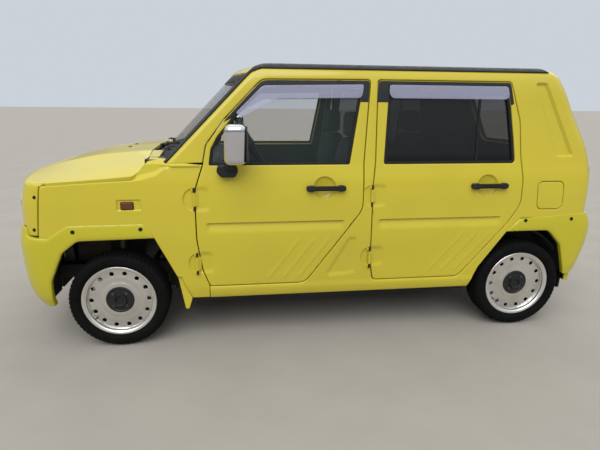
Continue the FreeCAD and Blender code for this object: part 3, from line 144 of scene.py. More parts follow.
FRONT_WINDOW = [
    (DOOR_FRONT_X - 75.0, 1014.0, 8.0),
    (DOOR_FRONT_X - 88.0, 1100.0, 40.0),
    (DOOR_FRONT_X - 122.0, 1162.0, 40.0),
    (DOOR_FRONT_X - 225.0, 1285.0, 40.0),
    (DOOR_FRONT_X - 365.0, 1420.0, 50.0),
    (PILLAR_X + 38.0, 1434.0, 20.0),
    (PILLAR_X + 112.0, 1014.0, 10.0),
]
REAR_WINDOW = [
    (PILLAR_X - 108.0, 1434.0, 14.0),
    (PILLAR_X - 80.0, 1014.0, 12.0),
    (REAR_X + 108.0, 1014.0, 20.0),
    (REAR_X + 122.0, 1150.0, 80.0),
    (REAR_X + 146.0, 1330.0, 80.0),
    (REAR_X + 172.0, 1434.0, 22.0),
]
FUEL_FLAP = [
    (REAR_X - 44.0, 905.0, 30.0),
    (REAR_X - 55.0, 745.0, 30.0),
    (REAR_X - 215.0, 745.0, 30.0),
    (REAR_X - 204.0, 905.0, 30.0),
]
LAMP_Y = 520.0
LAMP_Z = 800.0
LAMP_R = 88.0
GRILLE_HALF = 370.0
GRILLE_LOW = 742.0
GRILLE_HIGH = 858.0


# Curves and sections

def smooth_curve(columns, column):
    """Monotone cubic through a table's rows (z, value), as a function of arrays of z."""
    xs = np.array([row[0] for row in columns], float)
    ys = np.array([row[column] for row in columns], float)
    step = np.diff(xs)
    slope = np.diff(ys) / step
    lean = np.zeros_like(xs)
    lean[0], lean[-1] = slope[0], slope[-1]
    for i in range(1, len(xs) - 1):
        if slope[i - 1] * slope[i] > 0:
            w0 = 2 * step[i] + step[i - 1]
            w1 = step[i] + 2 * step[i - 1]
            lean[i] = (w0 + w1) / (w0 / slope[i - 1] + w1 / slope[i])

    def at(x):
        x = np.asarray(x, float)
        i = np.clip(np.searchsorted(xs, x) - 1, 0, len(xs) - 2)
        t = np.clip((x - xs[i]) / step[i], 0.0, 1.0)
        rise = step[i]
        return ((2 * t ** 3 - 3 * t ** 2 + 1) * ys[i] + (t ** 3 - 2 * t ** 2 + t) * rise * lean[i]
                + (3 * t ** 2 - 2 * t ** 3) * ys[i + 1] + (t ** 3 - t ** 2) * rise * lean[i + 1])
    return at


class Wall:
    """Upright wall all round the car. Its points are given by u and z: u is x along the
    straight side, and past the corners it goes on as the length along the section."""

    def __init__(self, half, nose, tail, nose_r, tail_r, nose_bow, tail_bow):
        self.half = half
        self.ends = {1: (nose, nose_r, nose_bow), -1: (tail, tail_r, tail_bow)}

    def end(self, z, sign):
        tip, corner, bow = self.ends[sign]
        flat = self.half(z) - corner
        big = (flat ** 2 + bow ** 2) / (2 * bow)
        tip = sign * tip(z)
        lean = np.arcsin(flat / (big - corner))
        start = tip - big + np.sqrt((big - corner) ** 2 - flat ** 2)
        return tip, corner, flat, big, lean, start

    def point(self, u, z):
        """Points (x, y, z) on the outer surface."""
        u, z = np.broadcast_arrays(np.asarray(u, float), np.asarray(z, float))
        x = u.copy()
        y = self.half(z) * np.ones_like(u)
        for sign in (1, -1):
            tip, corner, flat, big, lean, start = self.end(z, sign)
            past = sign * u - start
            turn = math.pi / 2 - lean
            round_angle = np.clip(past / corner, 0.0, turn)
            in_corner = (past > 0) & (past <= corner * turn)
            x = np.where(in_corner, sign * (start + corner * np.sin(round_angle)), x)
            y = np.where(in_corner, flat + corner * np.cos(round_angle), y)
            swing = lean - (past - corner * turn) / big
            beyond = past > corner * turn
            x = np.where(beyond, sign * (tip - big + big * np.cos(swing)), x)
            y = np.where(beyond, big * np.sin(swing), y)
        return np.stack([x, y, z], axis=-1)

    def u_at(self, y, z, sign):
        """u where the end section reaches y at height z."""
        z = np.asarray(z, float)
        _, corner, flat, big, lean, start = self.end(z, sign)
        on_bow = start + corner * (math.pi / 2 - lean) + (lean - np.arcsin(
            np.clip(y / big, -1, 1))) * big
        in_corner = start + corner * np.arccos(np.clip((y - flat) / corner, -1, 1))
        return sign * np.where(y > big * np.sin(lean), in_corner, on_bow)

    def spot(self, y, z, sign):
        """The point of an end at y and z, as (u, z)."""
        return float(self.u_at(y, z, sign)), z

    def on_end(self, loop, sign):
        """Outline given in y and z on an end, as u and z."""
        return np.stack([self.u_at(loop[:, 0], loop[:, 1], sign), loop[:, 1]], axis=1)


def screen_x(z):
    return SCREEN_BASE_X - SCREEN_RUN * (np.maximum(z, SCREEN_FOOT_Z) - SCREEN_BASE_Z)


body_half = smooth_curve(BODY_LEVELS, 1)
body_tail_in = smooth_curve(BODY_LEVELS, 2)
body_roof_in = smooth_curve(BODY_LEVELS, 3)
nose_back = smooth_curve(NOSE_LEVELS, 1)
bumper_half = smooth_curve(BUMPER_LEVELS, 1)
bumper_front_in = smooth_curve(BUMPER_LEVELS, 2)
bumper_tail_in = smooth_curve(BUMPER_LEVELS, 3)


def body_tail_x(z):
    return TAIL_X + body_tail_in(z)


BODY = Wall(body_half, lambda z: screen_x(z) - body_roof_in(z), body_tail_x,
            nose_r=40.0, tail_r=TAIL_R, nose_bow=SCREEN_BOW, tail_bow=TAIL_BOW)
NOSE = Wall(body_half, lambda z: NOSE_X - nose_back(z), body_tail_x,
            nose_r=NOSE_R, tail_r=TAIL_R, nose_bow=NOSE_BOW, tail_bow=TAIL_BOW)
BELT = Wall(bumper_half, lambda z: NOSE_X - bumper_front_in(z),
            lambda z: TAIL_X + bumper_tail_in(z),
            nose_r=NOSE_R, tail_r=90.0, nose_bow=NOSE_BOW, tail_bow=10.0)


# Mesh tools

def place(points):
    """Millimetres from the front axle to the frame's metres."""
    points = np.asarray(points, float) * MM
    return points + np.array([FRONT_AXLE, 0.0, 0.0])


# Usual distance between the points of an outline
LINE_STEP = 12.0


def rounded(corners, step=LINE_STEP):
    """Closed outline through corners (a, b, radius), with points about step apart."""
    count = len(corners)
    pieces = []
    for i, (a, b, radius) in enumerate(corners):
        here = np.array([a, b])
        back = np.array(corners[i - 1][:2]) - here
        ahead = np.array(corners[(i + 1) % count][:2]) - here
        back_length, ahead_length = np.hypot(*back), np.hypot(*ahead)
        back, ahead = back / back_length, ahead / ahead_length
        half = math.acos(max(-1.0, min(1.0, float(back @ ahead)))) / 2
        reach = min(radius / math.tan(half), back_length * 0.49, ahead_length * 0.49)
        if reach < 0.05:
            pieces.append([here])
            continue
        inward = (back + ahead) / np.hypot(*(back + ahead))
        centre = here + inward * (reach / math.cos(half))
        r = reach * math.tan(half)
        start = here + back * reach - centre
        sweep = math.pi - 2 * half
        turn = np.sign(back[0] * ahead[1] - back[1] * ahead[0]) * -1.0
        bits = max(2, int(round(r * sweep / step)), int(round(sweep / 0.35)))
        arc = []
        for k in range(bits + 1):
            angle = turn * sweep * k / bits
            c, s = math.cos(angle), math.sin(angle)
            arc.append(centre + np.array([start[0] * c - start[1] * s,
                                          start[0] * s + start[1] * c]))
        pieces.append(arc)
    loop = []
    for i, piece in enumerate(pieces):
        loop += piece
        start, end = piece[-1], pieces[(i + 1) % count][0]
        bits = int(np.hypot(*(end - start)) / step)
        for k in range(1, bits):
            loop.append(start + (end - start) * k / bits)
    return np.array(loop)


def rectangle(near, far, low, high, radius, far_radius=None):
    """Corners (a, b, radius) of a rectangle; far_radius is for the two corners at far."""
    if far_radius is None:
        far_radius = radius
    return [(near, low, radius), (near, high, radius), (far, high, far_radius),
            (far, low, far_radius)]


def circle(radius, count, a=0.0, b=0.0):
    """Closed round outline about a centre."""
    angle = np.arange(count) * 2 * math.pi / count
    return np.stack([a + radius * np.cos(angle), b + radius * np.sin(angle)], axis=1)


def closed(loop):
    """Closed outline as a chain that comes back to its first point."""
    return np.concatenate([loop, loop[:1]])


def dense(points, step=LINE_STEP):
    """Chain with points added so that none are further apart than about step."""
    points = [np.asarray(p, float) for p in points]
    line = [points[0]]
    for start, end in zip(points, points[1:]):
        bits = max(1, int(np.hypot(*(end - start)) / step))
        line += [start + (end - start) * k / bits for k in range(1, bits + 1)]
    return np.array(line)


def grown(loop, gap):
    """Closed outline moved outward by gap."""
    loop = np.asarray(loop)
    along = np.roll(loop, -1, axis=0) - np.roll(loop, 1, axis=0)
    along /= np.maximum(np.hypot(along[:, 0], along[:, 1]), 1e-9)[:, None]
    outward = np.stack([along[:, 1], -along[:, 0]], axis=1)
    area = np.sum(loop[:, 0] * np.roll(loop[:, 1], -1) - np.roll(loop[:, 0], -1) * loop[:, 1])
    return loop + outward * gap * (1.0 if area > 0 else -1.0)


def inside(points, loops):
    """Which points lie inside an odd number of closed outlines."""
    found = np.zeros(len(points), bool)
    x, y = points[:, 0], points[:, 1]
    for loop in loops:
        ends = np.roll(loop, -1, axis=0)
        for (x0, y0), (x1, y1) in zip(loop, ends):
            if y0 == y1:
                continue
            crosses = (y0 > y) != (y1 > y)
            found ^= crosses & (x < (x1 - x0) * (y - y0) / (y1 - y0) + x0)
    return found


def patch(loops, step, creases=()):
    """Triangles over the region inside the outlines: points (n, 2) and faces (m, 3)."""
    points, edges = [], []
    for loop in loops:
        first = len(points)
        points += [tuple(p) for p in loop]
        edges += [(first + i, first + (i + 1) % len(loop)) for i in range(len(loop))]
    fixed = np.array(points)
    for crease in creases:
        line = dense(crease, step)
        apart = np.min(np.hypot(line[:, None, 0] - fixed[None, :, 0],
                                line[:, None, 1] - fixed[None, :, 1]), axis=1)
        keep = inside(line, loops) & (apart > 0.35 * step)
        order = len(points) + np.cumsum(keep) - 1
        points += [tuple(p) for p in line[keep]]
        edges += [(order[i], order[i] + 1) for i in range(len(line) - 1)
                  if keep[i] and keep[i + 1]]
    low, high = fixed.min(axis=0), fixed.max(axis=0)
    grid = np.stack(np.meshgrid(np.arange(low[0] + step / 2, high[0], step),
                                np.arange(low[1] + step / 2, high[1], step)),
                    axis=-1).reshape(-1, 2)
    grid = grid[inside(grid, loops)]
    solid = np.array(points)
    keep = np.ones(len(grid), bool)
    for start in range(0, len(solid), 400):
        near = solid[start:start + 400]
        apart = np.min((grid[:, None, 0] - near[None, :, 0]) ** 2
                       + (grid[:, None, 1] - near[None, :, 1]) ** 2, axis=1)
        keep &= apart > (0.55 * step) ** 2
    points += [tuple(p) for p in grid[keep]]
    verts, _, faces, _, _, _ = delaunay_2d_cdt([Vector(p) for p in points], edges, [], 0, 1e-4)
    verts = np.array([tuple(v) for v in verts])
    faces = np.array([tuple(f) for f in faces if len(f) == 3])
    faces = faces[inside(verts[faces].mean(axis=1), loops)]
    used = np.unique(faces)
    renamed = np.full(len(verts), -1)
    renamed[used] = np.arange(len(used))
    return verts[used], renamed[faces]


def unit(vectors):
    return vectors / np.maximum(np.linalg.norm(vectors, axis=-1, keepdims=True), 1e-12)


def surface_normals(points, faces):
    normals = np.zeros_like(points)
    corners = points[faces]
    flat = np.cross(corners[:, 1] - corners[:, 0], corners[:, 2] - corners[:, 0])
    for k in range(3):
        np.add.at(normals, faces[:, k], flat)
    return unit(normals)


def boundary_loops(faces):
    """Border edges (a, b) in the order of their triangles, as closed chains."""
    edges = np.concatenate([faces[:, [0, 1]], faces[:, [1, 2]], faces[:, [2, 0]]])
    seen = set(map(tuple, edges.tolist()))
    following = {}
    for a, b in sorted(seen):
        if (b, a) not in seen:
            following.setdefault(a, []).append(b)
    chains = []
    for start in sorted(following):
        while following[start]:
            chain = [start]
            here = following[start].pop()
            while here != start:
                chain.append(here)
                here = following[here].pop()
            chains.append(chain)
    return chains


def add_object(name, data):
    obj = bpy.data.objects.new(name, data)
    bpy.context.scene.collection.objects.link(obj)
    return obj


def mesh_object(name, points, faces, materials, smooth_angle=40.0, slots=None):
    """Object from points in metres and faces, smooth shaded up to an angle."""
    mesh = bpy.data.meshes.new(name)
    mesh.from_pydata([tuple(p) for p in points], [], [tuple(int(i) for i in f) for f in faces])
    for material in materials:
        mesh.materials.append(material)
    mesh.polygons.foreach_set("use_smooth", [True] * len(mesh.polygons))
    if slots is not None:
        mesh.polygons.foreach_set("material_index", slots)
    mesh.update()
    mesh.set_sharp_from_angle(angle=math.radians(smooth_angle))
    return add_object(name, mesh)


def moved(obj, name, way):
    """Copy of an object with a matrix applied to its mesh."""
    mesh = obj.data.copy()
    mesh.transform(way)
    return add_object(name, mesh)


def flipped(obj, name):
    """Copy of an object mirrored to the car's other side."""
    copy = moved(obj, name, Matrix.Scale(-1.0, 4, Vector((0, 1, 0))))
    copy.data.flip_normals()
    return copy


def add_piece(piece, body, *nodes):
    """Makes a piece move with a body and stand for nodes of the frame."""
    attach(piece, body)
    if nodes:
        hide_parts(*nodes)
    return piece


def mirrored_pair(piece, body, *nodes):
    """Adds a left piece and its mirror image, in whose names left is changed to right."""
    other = flipped(piece, piece.name.replace("_left", "_right"))
    add_piece(piece, body, *nodes)
    add_piece(other, *[name.replace("_left", "_right") for name in (body,) + nodes])


def facing_out(points, faces, ways):
    """The faces, all turned over where most of them look against the points' directions."""
    corners = points[faces]
    turned = np.cross(corners[:, 1] - corners[:, 0], corners[:, 2] - corners[:, 0])
    return faces[:, [0, 2, 1]] if np.sum(turned * ways[faces[:, 0]]) < 0 else faces


def sheet_solid(name, outer, inner, faces, materials, edge=EDGE_R, inside_slot=0):
    """Closed wall between an outer and an inner sheet with the same faces, whose outer
    edges are rounded. Points are in millimetres."""
    count = len(outer)
    faces = facing_out(outer, faces, outer - inner)
    normals = surface_normals(outer, faces)
    depth_way = unit(inner - outer)
    points = [outer.copy(), inner.copy()]
    all_faces = [tuple(f) for f in faces] + [(a + count, c + count, b + count)
                                             for a, b, c in faces]
    slots = [0] * len(faces) + [inside_slot] * len(faces)
    total = 2 * count
    for chain in boundary_loops(faces):
        here = np.array(chain)
        along = unit(outer[np.roll(here, -1)] - outer[here])
        along_back = np.roll(along, 1, axis=0)
        outward = unit(np.cross(along + along_back, normals[here]))
        rim = outer[here]
        points[0][here] = rim - outward * edge
        rings = [here]
        for angle in (30.0, 60.0, 90.0):
            a = math.radians(angle)
            ring = (rim - outward * edge * (1 - math.sin(a)) + depth_way[here] * edge
                    * (1 - math.cos(a)))
            points.append(ring)
            rings.append(np.arange(total, total + len(here)))
            total += len(here)
        rings.append(here + count)
        for near, far in zip(rings, rings[1:]):
            for i in range(len(here)):
                j = (i + 1) % len(here)
                all_faces.append((near[j], near[i], far[i], far[j]))
                slots.append(0)
    return mesh_object(name, place(np.concatenate(points)), all_faces, materials, 40.0, slots)


def wall_panel(name, wall, loops, step, thick, materials, relief=None, whole=False,
               inside_slot=0, edge=EDGE_R, set_in=0.0):
    """Panel of a wall inside outlines in u and z. whole adds its mirror image beyond y = 0."""
    uv, faces = patch(loops, step, relief.creases if relief else ())
    u, z = uv[:, 0], uv[:, 1]
    base = wall.point(u, z)
    du = wall.point(u + 1.0, z) - wall.point(u - 1.0, z)
    dz = wall.point(u, z + 1.0) - wall.point(u, z - 1.0)
    normal = -unit(np.cross(du, dz))
    raised = relief(u, z) if relief else np.zeros(len(uv))
    outer = base + normal * (raised - set_in)[:, None]
    inner = base - normal * (thick + set_in)
    if whole:
        outer, inner, faces = doubled(outer, inner, faces)
    return sheet_solid(name, outer, inner, faces, materials, edge=edge, inside_slot=inside_slot)


def doubled(outer, inner, faces):
    """Adds the mirror image of a half that ends on y = 0."""
    count = len(outer)
    on_middle = np.abs(outer[:, 1]) < 0.2
    outer[on_middle, 1] = 0.0
    inner[on_middle, 1] = 0.0
    across = np.array([1.0, -1.0, 1.0])
    names = np.where(on_middle, np.arange(count), -1)
    names[~on_middle] = count + np.arange(np.sum(~on_middle))
    outer = np.concatenate([outer, outer[~on_middle] * across])
    inner = np.concatenate([inner, inner[~on_middle] * across])
    faces = np.concatenate([faces, names[faces][:, [0, 2, 1]]])
    return outer, inner, faces


# Materials

def colour(r, g, b):
    """Linear colour from 8-bit display values."""
    def linear(v):
        v /= 255.0
        return v / 12.92 if v <= 0.04045 else ((v + 0.055) / 1.055) ** 2.4
    return (linear(r), linear(g), linear(b), 1.0)


def add_node(tree, kind, values):
    """Shader node with some of its inputs set."""
    made = tree.nodes.new(kind)
    for key, value in values.items():
        made.inputs[key].default_value = value
    return made


class Look:
    """Material whose surface comes from nodes round one Principled shader."""

    def __init__(self, name, base, roughness, metallic=0.0, coat=0.0, specular=0.5):
        self.material = bpy.data.materials.new(name)
        self.material.use_nodes = True
        self.tree = self.material.node_tree
        self.shader = self.tree.nodes["Principled BSDF"]
        self.base = base
        values = {"Base Color": base, "Roughness": roughness, "Metallic": metallic,
                  "Coat Weight": coat, "Coat Roughness": 0.06, "Specular IOR Level": specular}
        for key, value in values.items():
            self.shader.inputs[key].default_value = value
        self.coords = self.tree.nodes.new("ShaderNodeTexCoord").outputs["Object"]

    def link(self, start, end):
        self.tree.links.new(start, end)

    def noise(self, scale, detail=4.0, rough=0.5, stretch=None):
        made = add_node(self.tree, "ShaderNodeTexNoise",
                        {"Scale": scale, "Detail": detail, "Roughness": rough})
        source = self.coords
        if stretch is not None:
            mapping = add_node(self.tree, "ShaderNodeMapping", {"Scale": stretch})
            self.link(source, mapping.inputs["Vector"])
            source = mapping.outputs["Vector"]
        self.link(source, made.inputs["Vector"])
        return made.outputs["Fac"]

    def ramp(self, source, low, high, low_value, high_value):
        """Value that goes from low_value to high_value as source goes from low to high."""
        made = add_node(self.tree, "ShaderNodeMapRange", {
            "From Min": low, "From Max": high, "To Min": low_value, "To Max": high_value})
        self.link(source, made.inputs["Value"])
        return made.outputs["Result"]

    def tint(self, source, other, low=0.35, high=0.65):
        """Mixes the base colour towards another by a texture."""
        made = self.tree.nodes.new("ShaderNodeMix")
        made.data_type = "RGBA"
        colours = {"A": self.base, "B": other}
        for socket in made.inputs:
            if socket.type == "RGBA":
                socket.default_value = colours[socket.name]
        self.link(self.ramp(source, low, high, 0.0, 1.0), made.inputs["Factor"])
        result = [socket for socket in made.outputs if socket.type == "RGBA"][0]
        self.link(result, self.shader.inputs["Base Color"])

    def rough(self, source, low_value, high_value):
        self.link(self.ramp(source, 0.3, 0.7, low_value, high_value),
                  self.shader.inputs["Roughness"])

    def bump(self, source, strength, distance):
        made = add_node(self.tree, "ShaderNodeBump", {"Strength": strength, "Distance": distance})
        self.link(source, made.inputs["Height"])
        self.link(made.outputs["Normal"], self.shader.inputs["Normal"])


def paint(name, base, dusty):
    look = Look(name, base, 0.32, coat=0.6, specular=0.3)
    look.tint(look.noise(2.2, 3.0), dusty, 0.38, 0.72)
    look.rough(look.noise(5.0, 3.0), 0.28, 0.36)
    look.bump(look.noise(260.0, 2.0), 0.015, 0.0004)
    return look.material


def plastic(name, base, other, roughness, grain, specular=0.3):
    look = Look(name, base, roughness, specular=specular)
    look.tint(look.noise(6.0, 4.0), other, 0.4, 0.7)
    look.rough(look.noise(30.0, 4.0), roughness - 0.08, roughness + 0.1)
    look.bump(look.noise(grain, 3.0), 0.25, 0.0006)
    return look.material


def glass(name, tone, darkness):
    """Window glass: clear with a tinted, partly see-through body."""
    look = Look(name, tone, 0.02, specular=0.6)
    look.shader.inputs["Alpha"].default_value = darkness
    look.rough(look.noise(5.0, 3.0), 0.015, 0.05)
    look.material.blend_method = "BLEND"
    return look.material


def metal(name, base, other, low, high, scale, stretch=None, grained=True):
    look = Look(name, base, low, metallic=1.0)
    look.tint(look.noise(7.0, 3.0), other, 0.4, 0.7)
    grain = look.noise(scale, 3.0, 0.6, stretch)
    look.rough(grain, low, high)
    if grained:
        look.bump(grain, 0.06, 0.0003)
    return look.material


YELLOW = colour(203, 187, 50)
YELLOW_DULL = colour(197, 181, 52)
BELT_YELLOW = colour(193, 183, 38)
PAINT = paint("lime_paint", YELLOW, YELLOW_DULL)
BELT_PAINT = paint("lime_plastic", BELT_YELLOW, colour(190, 180, 34))
BLACK = plastic("black_plastic", colour(30, 31, 33), colour(38, 39, 41), 0.48, 700.0)
RUBBER = plastic("rubber_seal", colour(20, 20, 21), colour(26, 26, 27), 0.6, 500.0)
GREY_TRIM = plastic("grey_trim", colour(70, 70, 72), colour(62, 62, 64), 0.62, 800.0)
DARK_TRIM = plastic("dark_trim", colour(42, 42, 45), colour(50, 50, 53), 0.65, 800.0)
CHASSIS = plastic("chassis_paint", colour(34, 34, 36), colour(52, 48, 44), 0.6, 90.0)
CAST = metal("cast_iron", colour(95, 92, 88), colour(80, 70, 62), 0.45, 0.7, 140.0)
SIDE_GLASS = glass("side_glass", colour(84, 100, 96), 0.12)
DARK_GLASS = glass("dark_glass", colour(20, 24, 25), 0.66)
CLEAR_GLASS = glass("clear_glass", colour(40, 50, 48), 0.22)
DEFLECTOR = glass("pale_acrylic", colour(196, 198, 224), 0.34)
SEAT_CLOTH = plastic("seat_cloth", colour(52, 54, 55), colour(42, 44, 45), 0.85, 420.0)
CHROME = metal("chrome", colour(214, 215, 218), colour(206, 207, 210), 0.04, 0.08, 6.0,
               grained=False)
EXHAUST = metal("exhaust_steel", colour(150, 145, 138), colour(120, 105, 90), 0.3, 0.5, 60.0)
RADIATOR = metal("radiator_fins", colour(140, 140, 140), colour(110, 110, 110), 0.4, 0.6, 200.0,
                 (1.0, 1.0, 12.0))
TYRE = plastic("tyre_rubber", colour(10, 10, 10), colour(16, 16, 15), 0.8, 260.0, 0.12)
MACHINED = metal("machined_alloy", colour(222, 220, 214), colour(206, 204, 198), 0.34, 0.44, 20.0,
                 grained=False)
POLISHED = metal("polished_alloy", colour(236, 234, 230), colour(228, 226, 222), 0.30, 0.36, 8.0,
                 grained=False)
DARK_METAL = metal("wheel_inside", colour(70, 70, 71), colour(58, 56, 54), 0.5, 0.7, 60.0)
LENS = glass("lamp_lens", colour(225, 230, 232), 0.16)
RED_LENS = plastic("red_lens", colour(168, 20, 22), colour(150, 14, 16), 0.16, 300.0)
AMBER_LENS = plastic("amber_lens", colour(196, 96, 24), colour(180, 84, 18), 0.16, 300.0)
BROWN_LENS = plastic("brown_lens", colour(112, 62, 40), colour(98, 52, 34), 0.2, 300.0)
PLATE = plastic("plate_metal", colour(228, 229, 228), colour(219, 220, 220), 0.42, 500.0)


# Relief pressed into the panels

def smoothstep(t):
    t = np.clip(t, 0.0, 1.0)
    return t * t * (3 - 2 * t)


def box_depth(x, z, cx, cz, hx, hz, r):
    """How far a point lies inside a rounded rectangle, negative outside."""
    qx = np.abs(x - cx) - hx + r
    qz = np.abs(z - cz) - hz + r
    return r - np.hypot(np.maximum(qx, 0), np.maximum(qz, 0)) - np.minimum(np.maximum(qx, qz), 0)


def chain_distance(x, z, chain):
    """How far points lie from an open chain."""
    points = np.stack([x, z], axis=-1)
    best = np.full(len(points), 1e9)
    for start, end in zip(chain, chain[1:]):
        way = end - start
        t = np.clip(((points - start) @ way) / max(way @ way, 1e-9), 0, 1)
        best = np.minimum(best, np.hypot(*(points - start - t[:, None] * way).T))
    return best


def outline_depth(x, z, loop):
    """How far points lie inside a closed outline, negative outside."""
    best = chain_distance(x, z, closed(loop))
    return np.where(inside(np.stack([x, z], axis=-1), [loop]), best, -best)


class Relief:
    """Pressed forms of one panel: height added at each point, and lines the mesh follows."""

    def __init__(self):
        self.parts = []
        self.creases = []

    def __call__(self, x, z):
        total = np.zeros(len(x))
        for part in self.parts:
            total = total + part(x, z)
        return total

    def dish(self, cx, cz, hx, hz, r, depth, soft, bowl=0.0):
        """Sunk rounded rectangle, or a round one where hx, hz and r are the same."""
        def part(x, z):
            d = box_depth(x, z, cx, cz, hx, hz, r)
            round_part = 1 - np.clip(((x - cx) / hx) ** 2 + ((z - cz) / hz) ** 2, 0, 1)
            return -depth * smoothstep(d / soft) - bowl * round_part
        self.parts.append(part)
        for back in (0.0, soft):
            corners = rectangle(cx - hx + back, cx + hx - back, cz - hz + back, cz + hz - back,
                                r - back * 0.5)
            self.creases.append(closed(rounded(corners, 8.0)))

    def groove(self, x0, x1, top, low, depth):
        """Long wedge-shaped step: sharp under its top edge, sloping out towards low."""
        lip = 5.0

        def part(x, z):
            wedge = np.where(z < top - lip, (z - low) / (top - lip - low),
                             1 - smoothstep((z - top + lip) / lip))
            wedge = np.where((z > top) | (z < low), 0.0, wedge)
            ends = smoothstep((x - x0) / 16.0) * smoothstep((x1 - x) / 16.0)
            return -depth * wedge * ends
        self.parts.append(part)
        for z in (top + 1.0, top - lip, low):
            self.creases.append([(x0, z), (x1, z)])

    def bead(self, start, end, half, height):
        """Narrow raised rib from start to end."""
        start, end = np.array(start, float), np.array(end, float)
        way = end - start
        across = np.array([-way[1], way[0]]) / np.hypot(*way)

        self.parts.append(lambda x, z: height * smoothstep(
            1 - chain_distance(x, z, np.array([start, end])) / half))
        for offset in (-half, 0.0, half):
            self.creases.append([start + across * offset, end + across * offset])

    def sunk(self, corners, depth, soft):
        """Sunk area inside an outline."""
        loop = rounded(corners, 10.0)
        self.parts.append(lambda x, z: -depth * smoothstep(outline_depth(x, z, loop) / soft))
        self.creases += [closed(loop), closed(grown(loop, -soft))]


# Axes of the door hinges, and the shallow recesses for their pads
FRONT_AXIS_X = DOOR_FRONT_X + DOOR_GAP
REAR_AXIS_X = PILLAR_X - 24.0 + DOOR_GAP
HINGE_Y = 731.0
# Columns: seam x, middle z, half height of the recess.
FRONT_HINGES = [(FRONT_AXIS_X - 3.0, 836.0, 64.0), (FRONT_AXIS_X - 12.0, 478.0, 60.0)]
REAR_HINGES = [(REAR_AXIS_X - 3.0, 840.0, 62.0), (REAR_AXIS_X - 6.0, 484.0, 58.0)]
PAD_DEPTH = 7.5
PAD_REACH = 78.0
HANDLES = {"front": (-1144.0, 888.0), "rear": (-2096.0, 888.0)}


def door_relief(end, hinges):
    relief = Relief()
    hx, hz = HANDLES[end]
    relief.dish(hx + 6.0, hz, 64.0, 64.0, 64.0, depth=7.0, soft=6.0, bowl=16.0)
    for seam, z, half in hinges:
        relief.dish(seam, z, PAD_REACH, half, 24.0, depth=PAD_DEPTH, soft=11.0)
    if end == "front":
        relief.groove(-1255.0, -490.0, 705.0, 648.0, depth=15.0)
        for top in (-1000.0, -1085.0, -1170.0):
            relief.bead((top, 600.0), (top + 172.0, 375.0), half=9.0, height=3.2)
    else:
        relief.groove(-2195.0, -1450.0, 705.0, 648.0, depth=15.0)
        for top in (-1962.0, -2045.0, -2128.0):
            relief.bead((top, 604.0), (top + 188.0, 385.0), half=9.0, height=3.0)
    return relief


def make_door(end, corners, window, hinges, window_glass):
    body = end + "_door_left"
    loop = rounded(window)
    door = wall_panel(end + "_door_skin_left", BODY, [rounded(corners), loop], step=11.0,
                      thick=DOOR_T - 2.0, materials=[PAINT, DARK_TRIM],
                      relief=door_relief(end, hinges), inside_slot=1)
    mirrored_pair(door, body, body)
    pane = wall_panel(end + "_pane_left", BODY, [rounded(window, 20.0)], step=40.0, thick=5.0,
                      materials=[window_glass], set_in=16.0, edge=0.5)
    mirrored_pair(pane, body, end + "_glass_left")
    seal = wall_panel(end + "_seal_left", BODY, [grown(loop, -0.5), grown(loop, -15.0)], step=9.0,
                      thick=12.0, materials=[RUBBER], set_in=5.0, edge=2.0)
    mirrored_pair(seal, body)


make_door("front", FRONT_DOOR, FRONT_WINDOW, FRONT_HINGES, SIDE_GLASS)
make_door("rear", REAR_DOOR, REAR_WINDOW, REAR_HINGES, DARK_GLASS)


def bar_on_wall(name, corners, body, set_in, thick, material=RUBBER, step=14.0, edge=2.0):
    """Flat strip on the side wall, made for both sides."""
    bar = wall_panel(name + "_left", BODY, [rounded(corners, step)], step=step, thick=thick,
                     materials=[material], set_in=set_in, edge=edge)
    mirrored_pair(bar, body + "_left")


# Window dividers and the clear wind deflectors along the tops of the windows
bar_on_wall("front_divider", [(-604.0, 1256.0, 0.0), (-622.0, 1276.0, 0.0), (-812.0, 1020.0, 0.0),
                              (-796.0, 1016.0, 0.0)], "front_door", set_in=12.0, thick=10.0)
bar_on_wall("rear_divider", [(-2011.0, 1018.0, 0.0), (-2025.0, 1018.0, 0.0),
                             (-2042.0, 1430.0, 0.0), (-2028.0, 1430.0, 0.0)], "rear_door",
            set_in=11.0, thick=10.0)
bar_on_wall("front_deflector", [(-662.0, 1282.0, 10.0), (-808.0, 1424.0, 40.0),
                                (-1354.0, 1436.0, 10.0), (-1342.0, 1366.0, 24.0),
                                (-880.0, 1358.0, 60.0), (-700.0, 1262.0, 20.0)],
            "front_door", set_in=-8.0, thick=2.5, material=DEFLECTOR, step=22.0, edge=1.0)
bar_on_wall("rear_deflector", [(-1498.0, 1436.0, 12.0), (-2188.0, 1436.0, 20.0),
                               (-2200.0, 1366.0, 24.0), (-1496.0, 1366.0, 60.0)],
            "rear_door", set_in=-8.0, thick=2.5, material=DEFLECTOR, step=22.0, edge=1.0)

# Black upper part of each door's window frame
bar_on_wall("front_sash", [(-598.0, 1236.0, 0.0), (-611.5, 1253.5, 80.0), (-806.0, 1452.5, 70.0),
                           (-1388.0, 1457.5, 12.0), (-1379.5, 1345.0, 0.0),
                           (-1336.0, 1345.0, 0.0), (-1352.0, 1434.0, 20.0),
                           (-805.0, 1420.0, 50.0), (-665.0, 1285.0, 40.0),
                           (-640.0, 1256.0, 0.0)], "front_door", set_in=-0.8, thick=2.0,
            material=BLACK, step=9.0, edge=0.6)
bar_on_wall("rear_sash", [(-1429.0, 1345.0, 0.0), (-1439.0, 1457.5, 12.0),
                          (-2206.0, 1457.5, 14.0), (-2230.0, 1345.0, 0.0),
                          (-2214.0, 1330.0, 20.0), (-2188.0, 1434.0, 22.0),
                          (-1498.0, 1434.0, 14.0), (-1492.0, 1345.0, 0.0)],
            "rear_door", set_in=-0.8, thick=2.0, material=BLACK, step=9.0, edge=0.6)

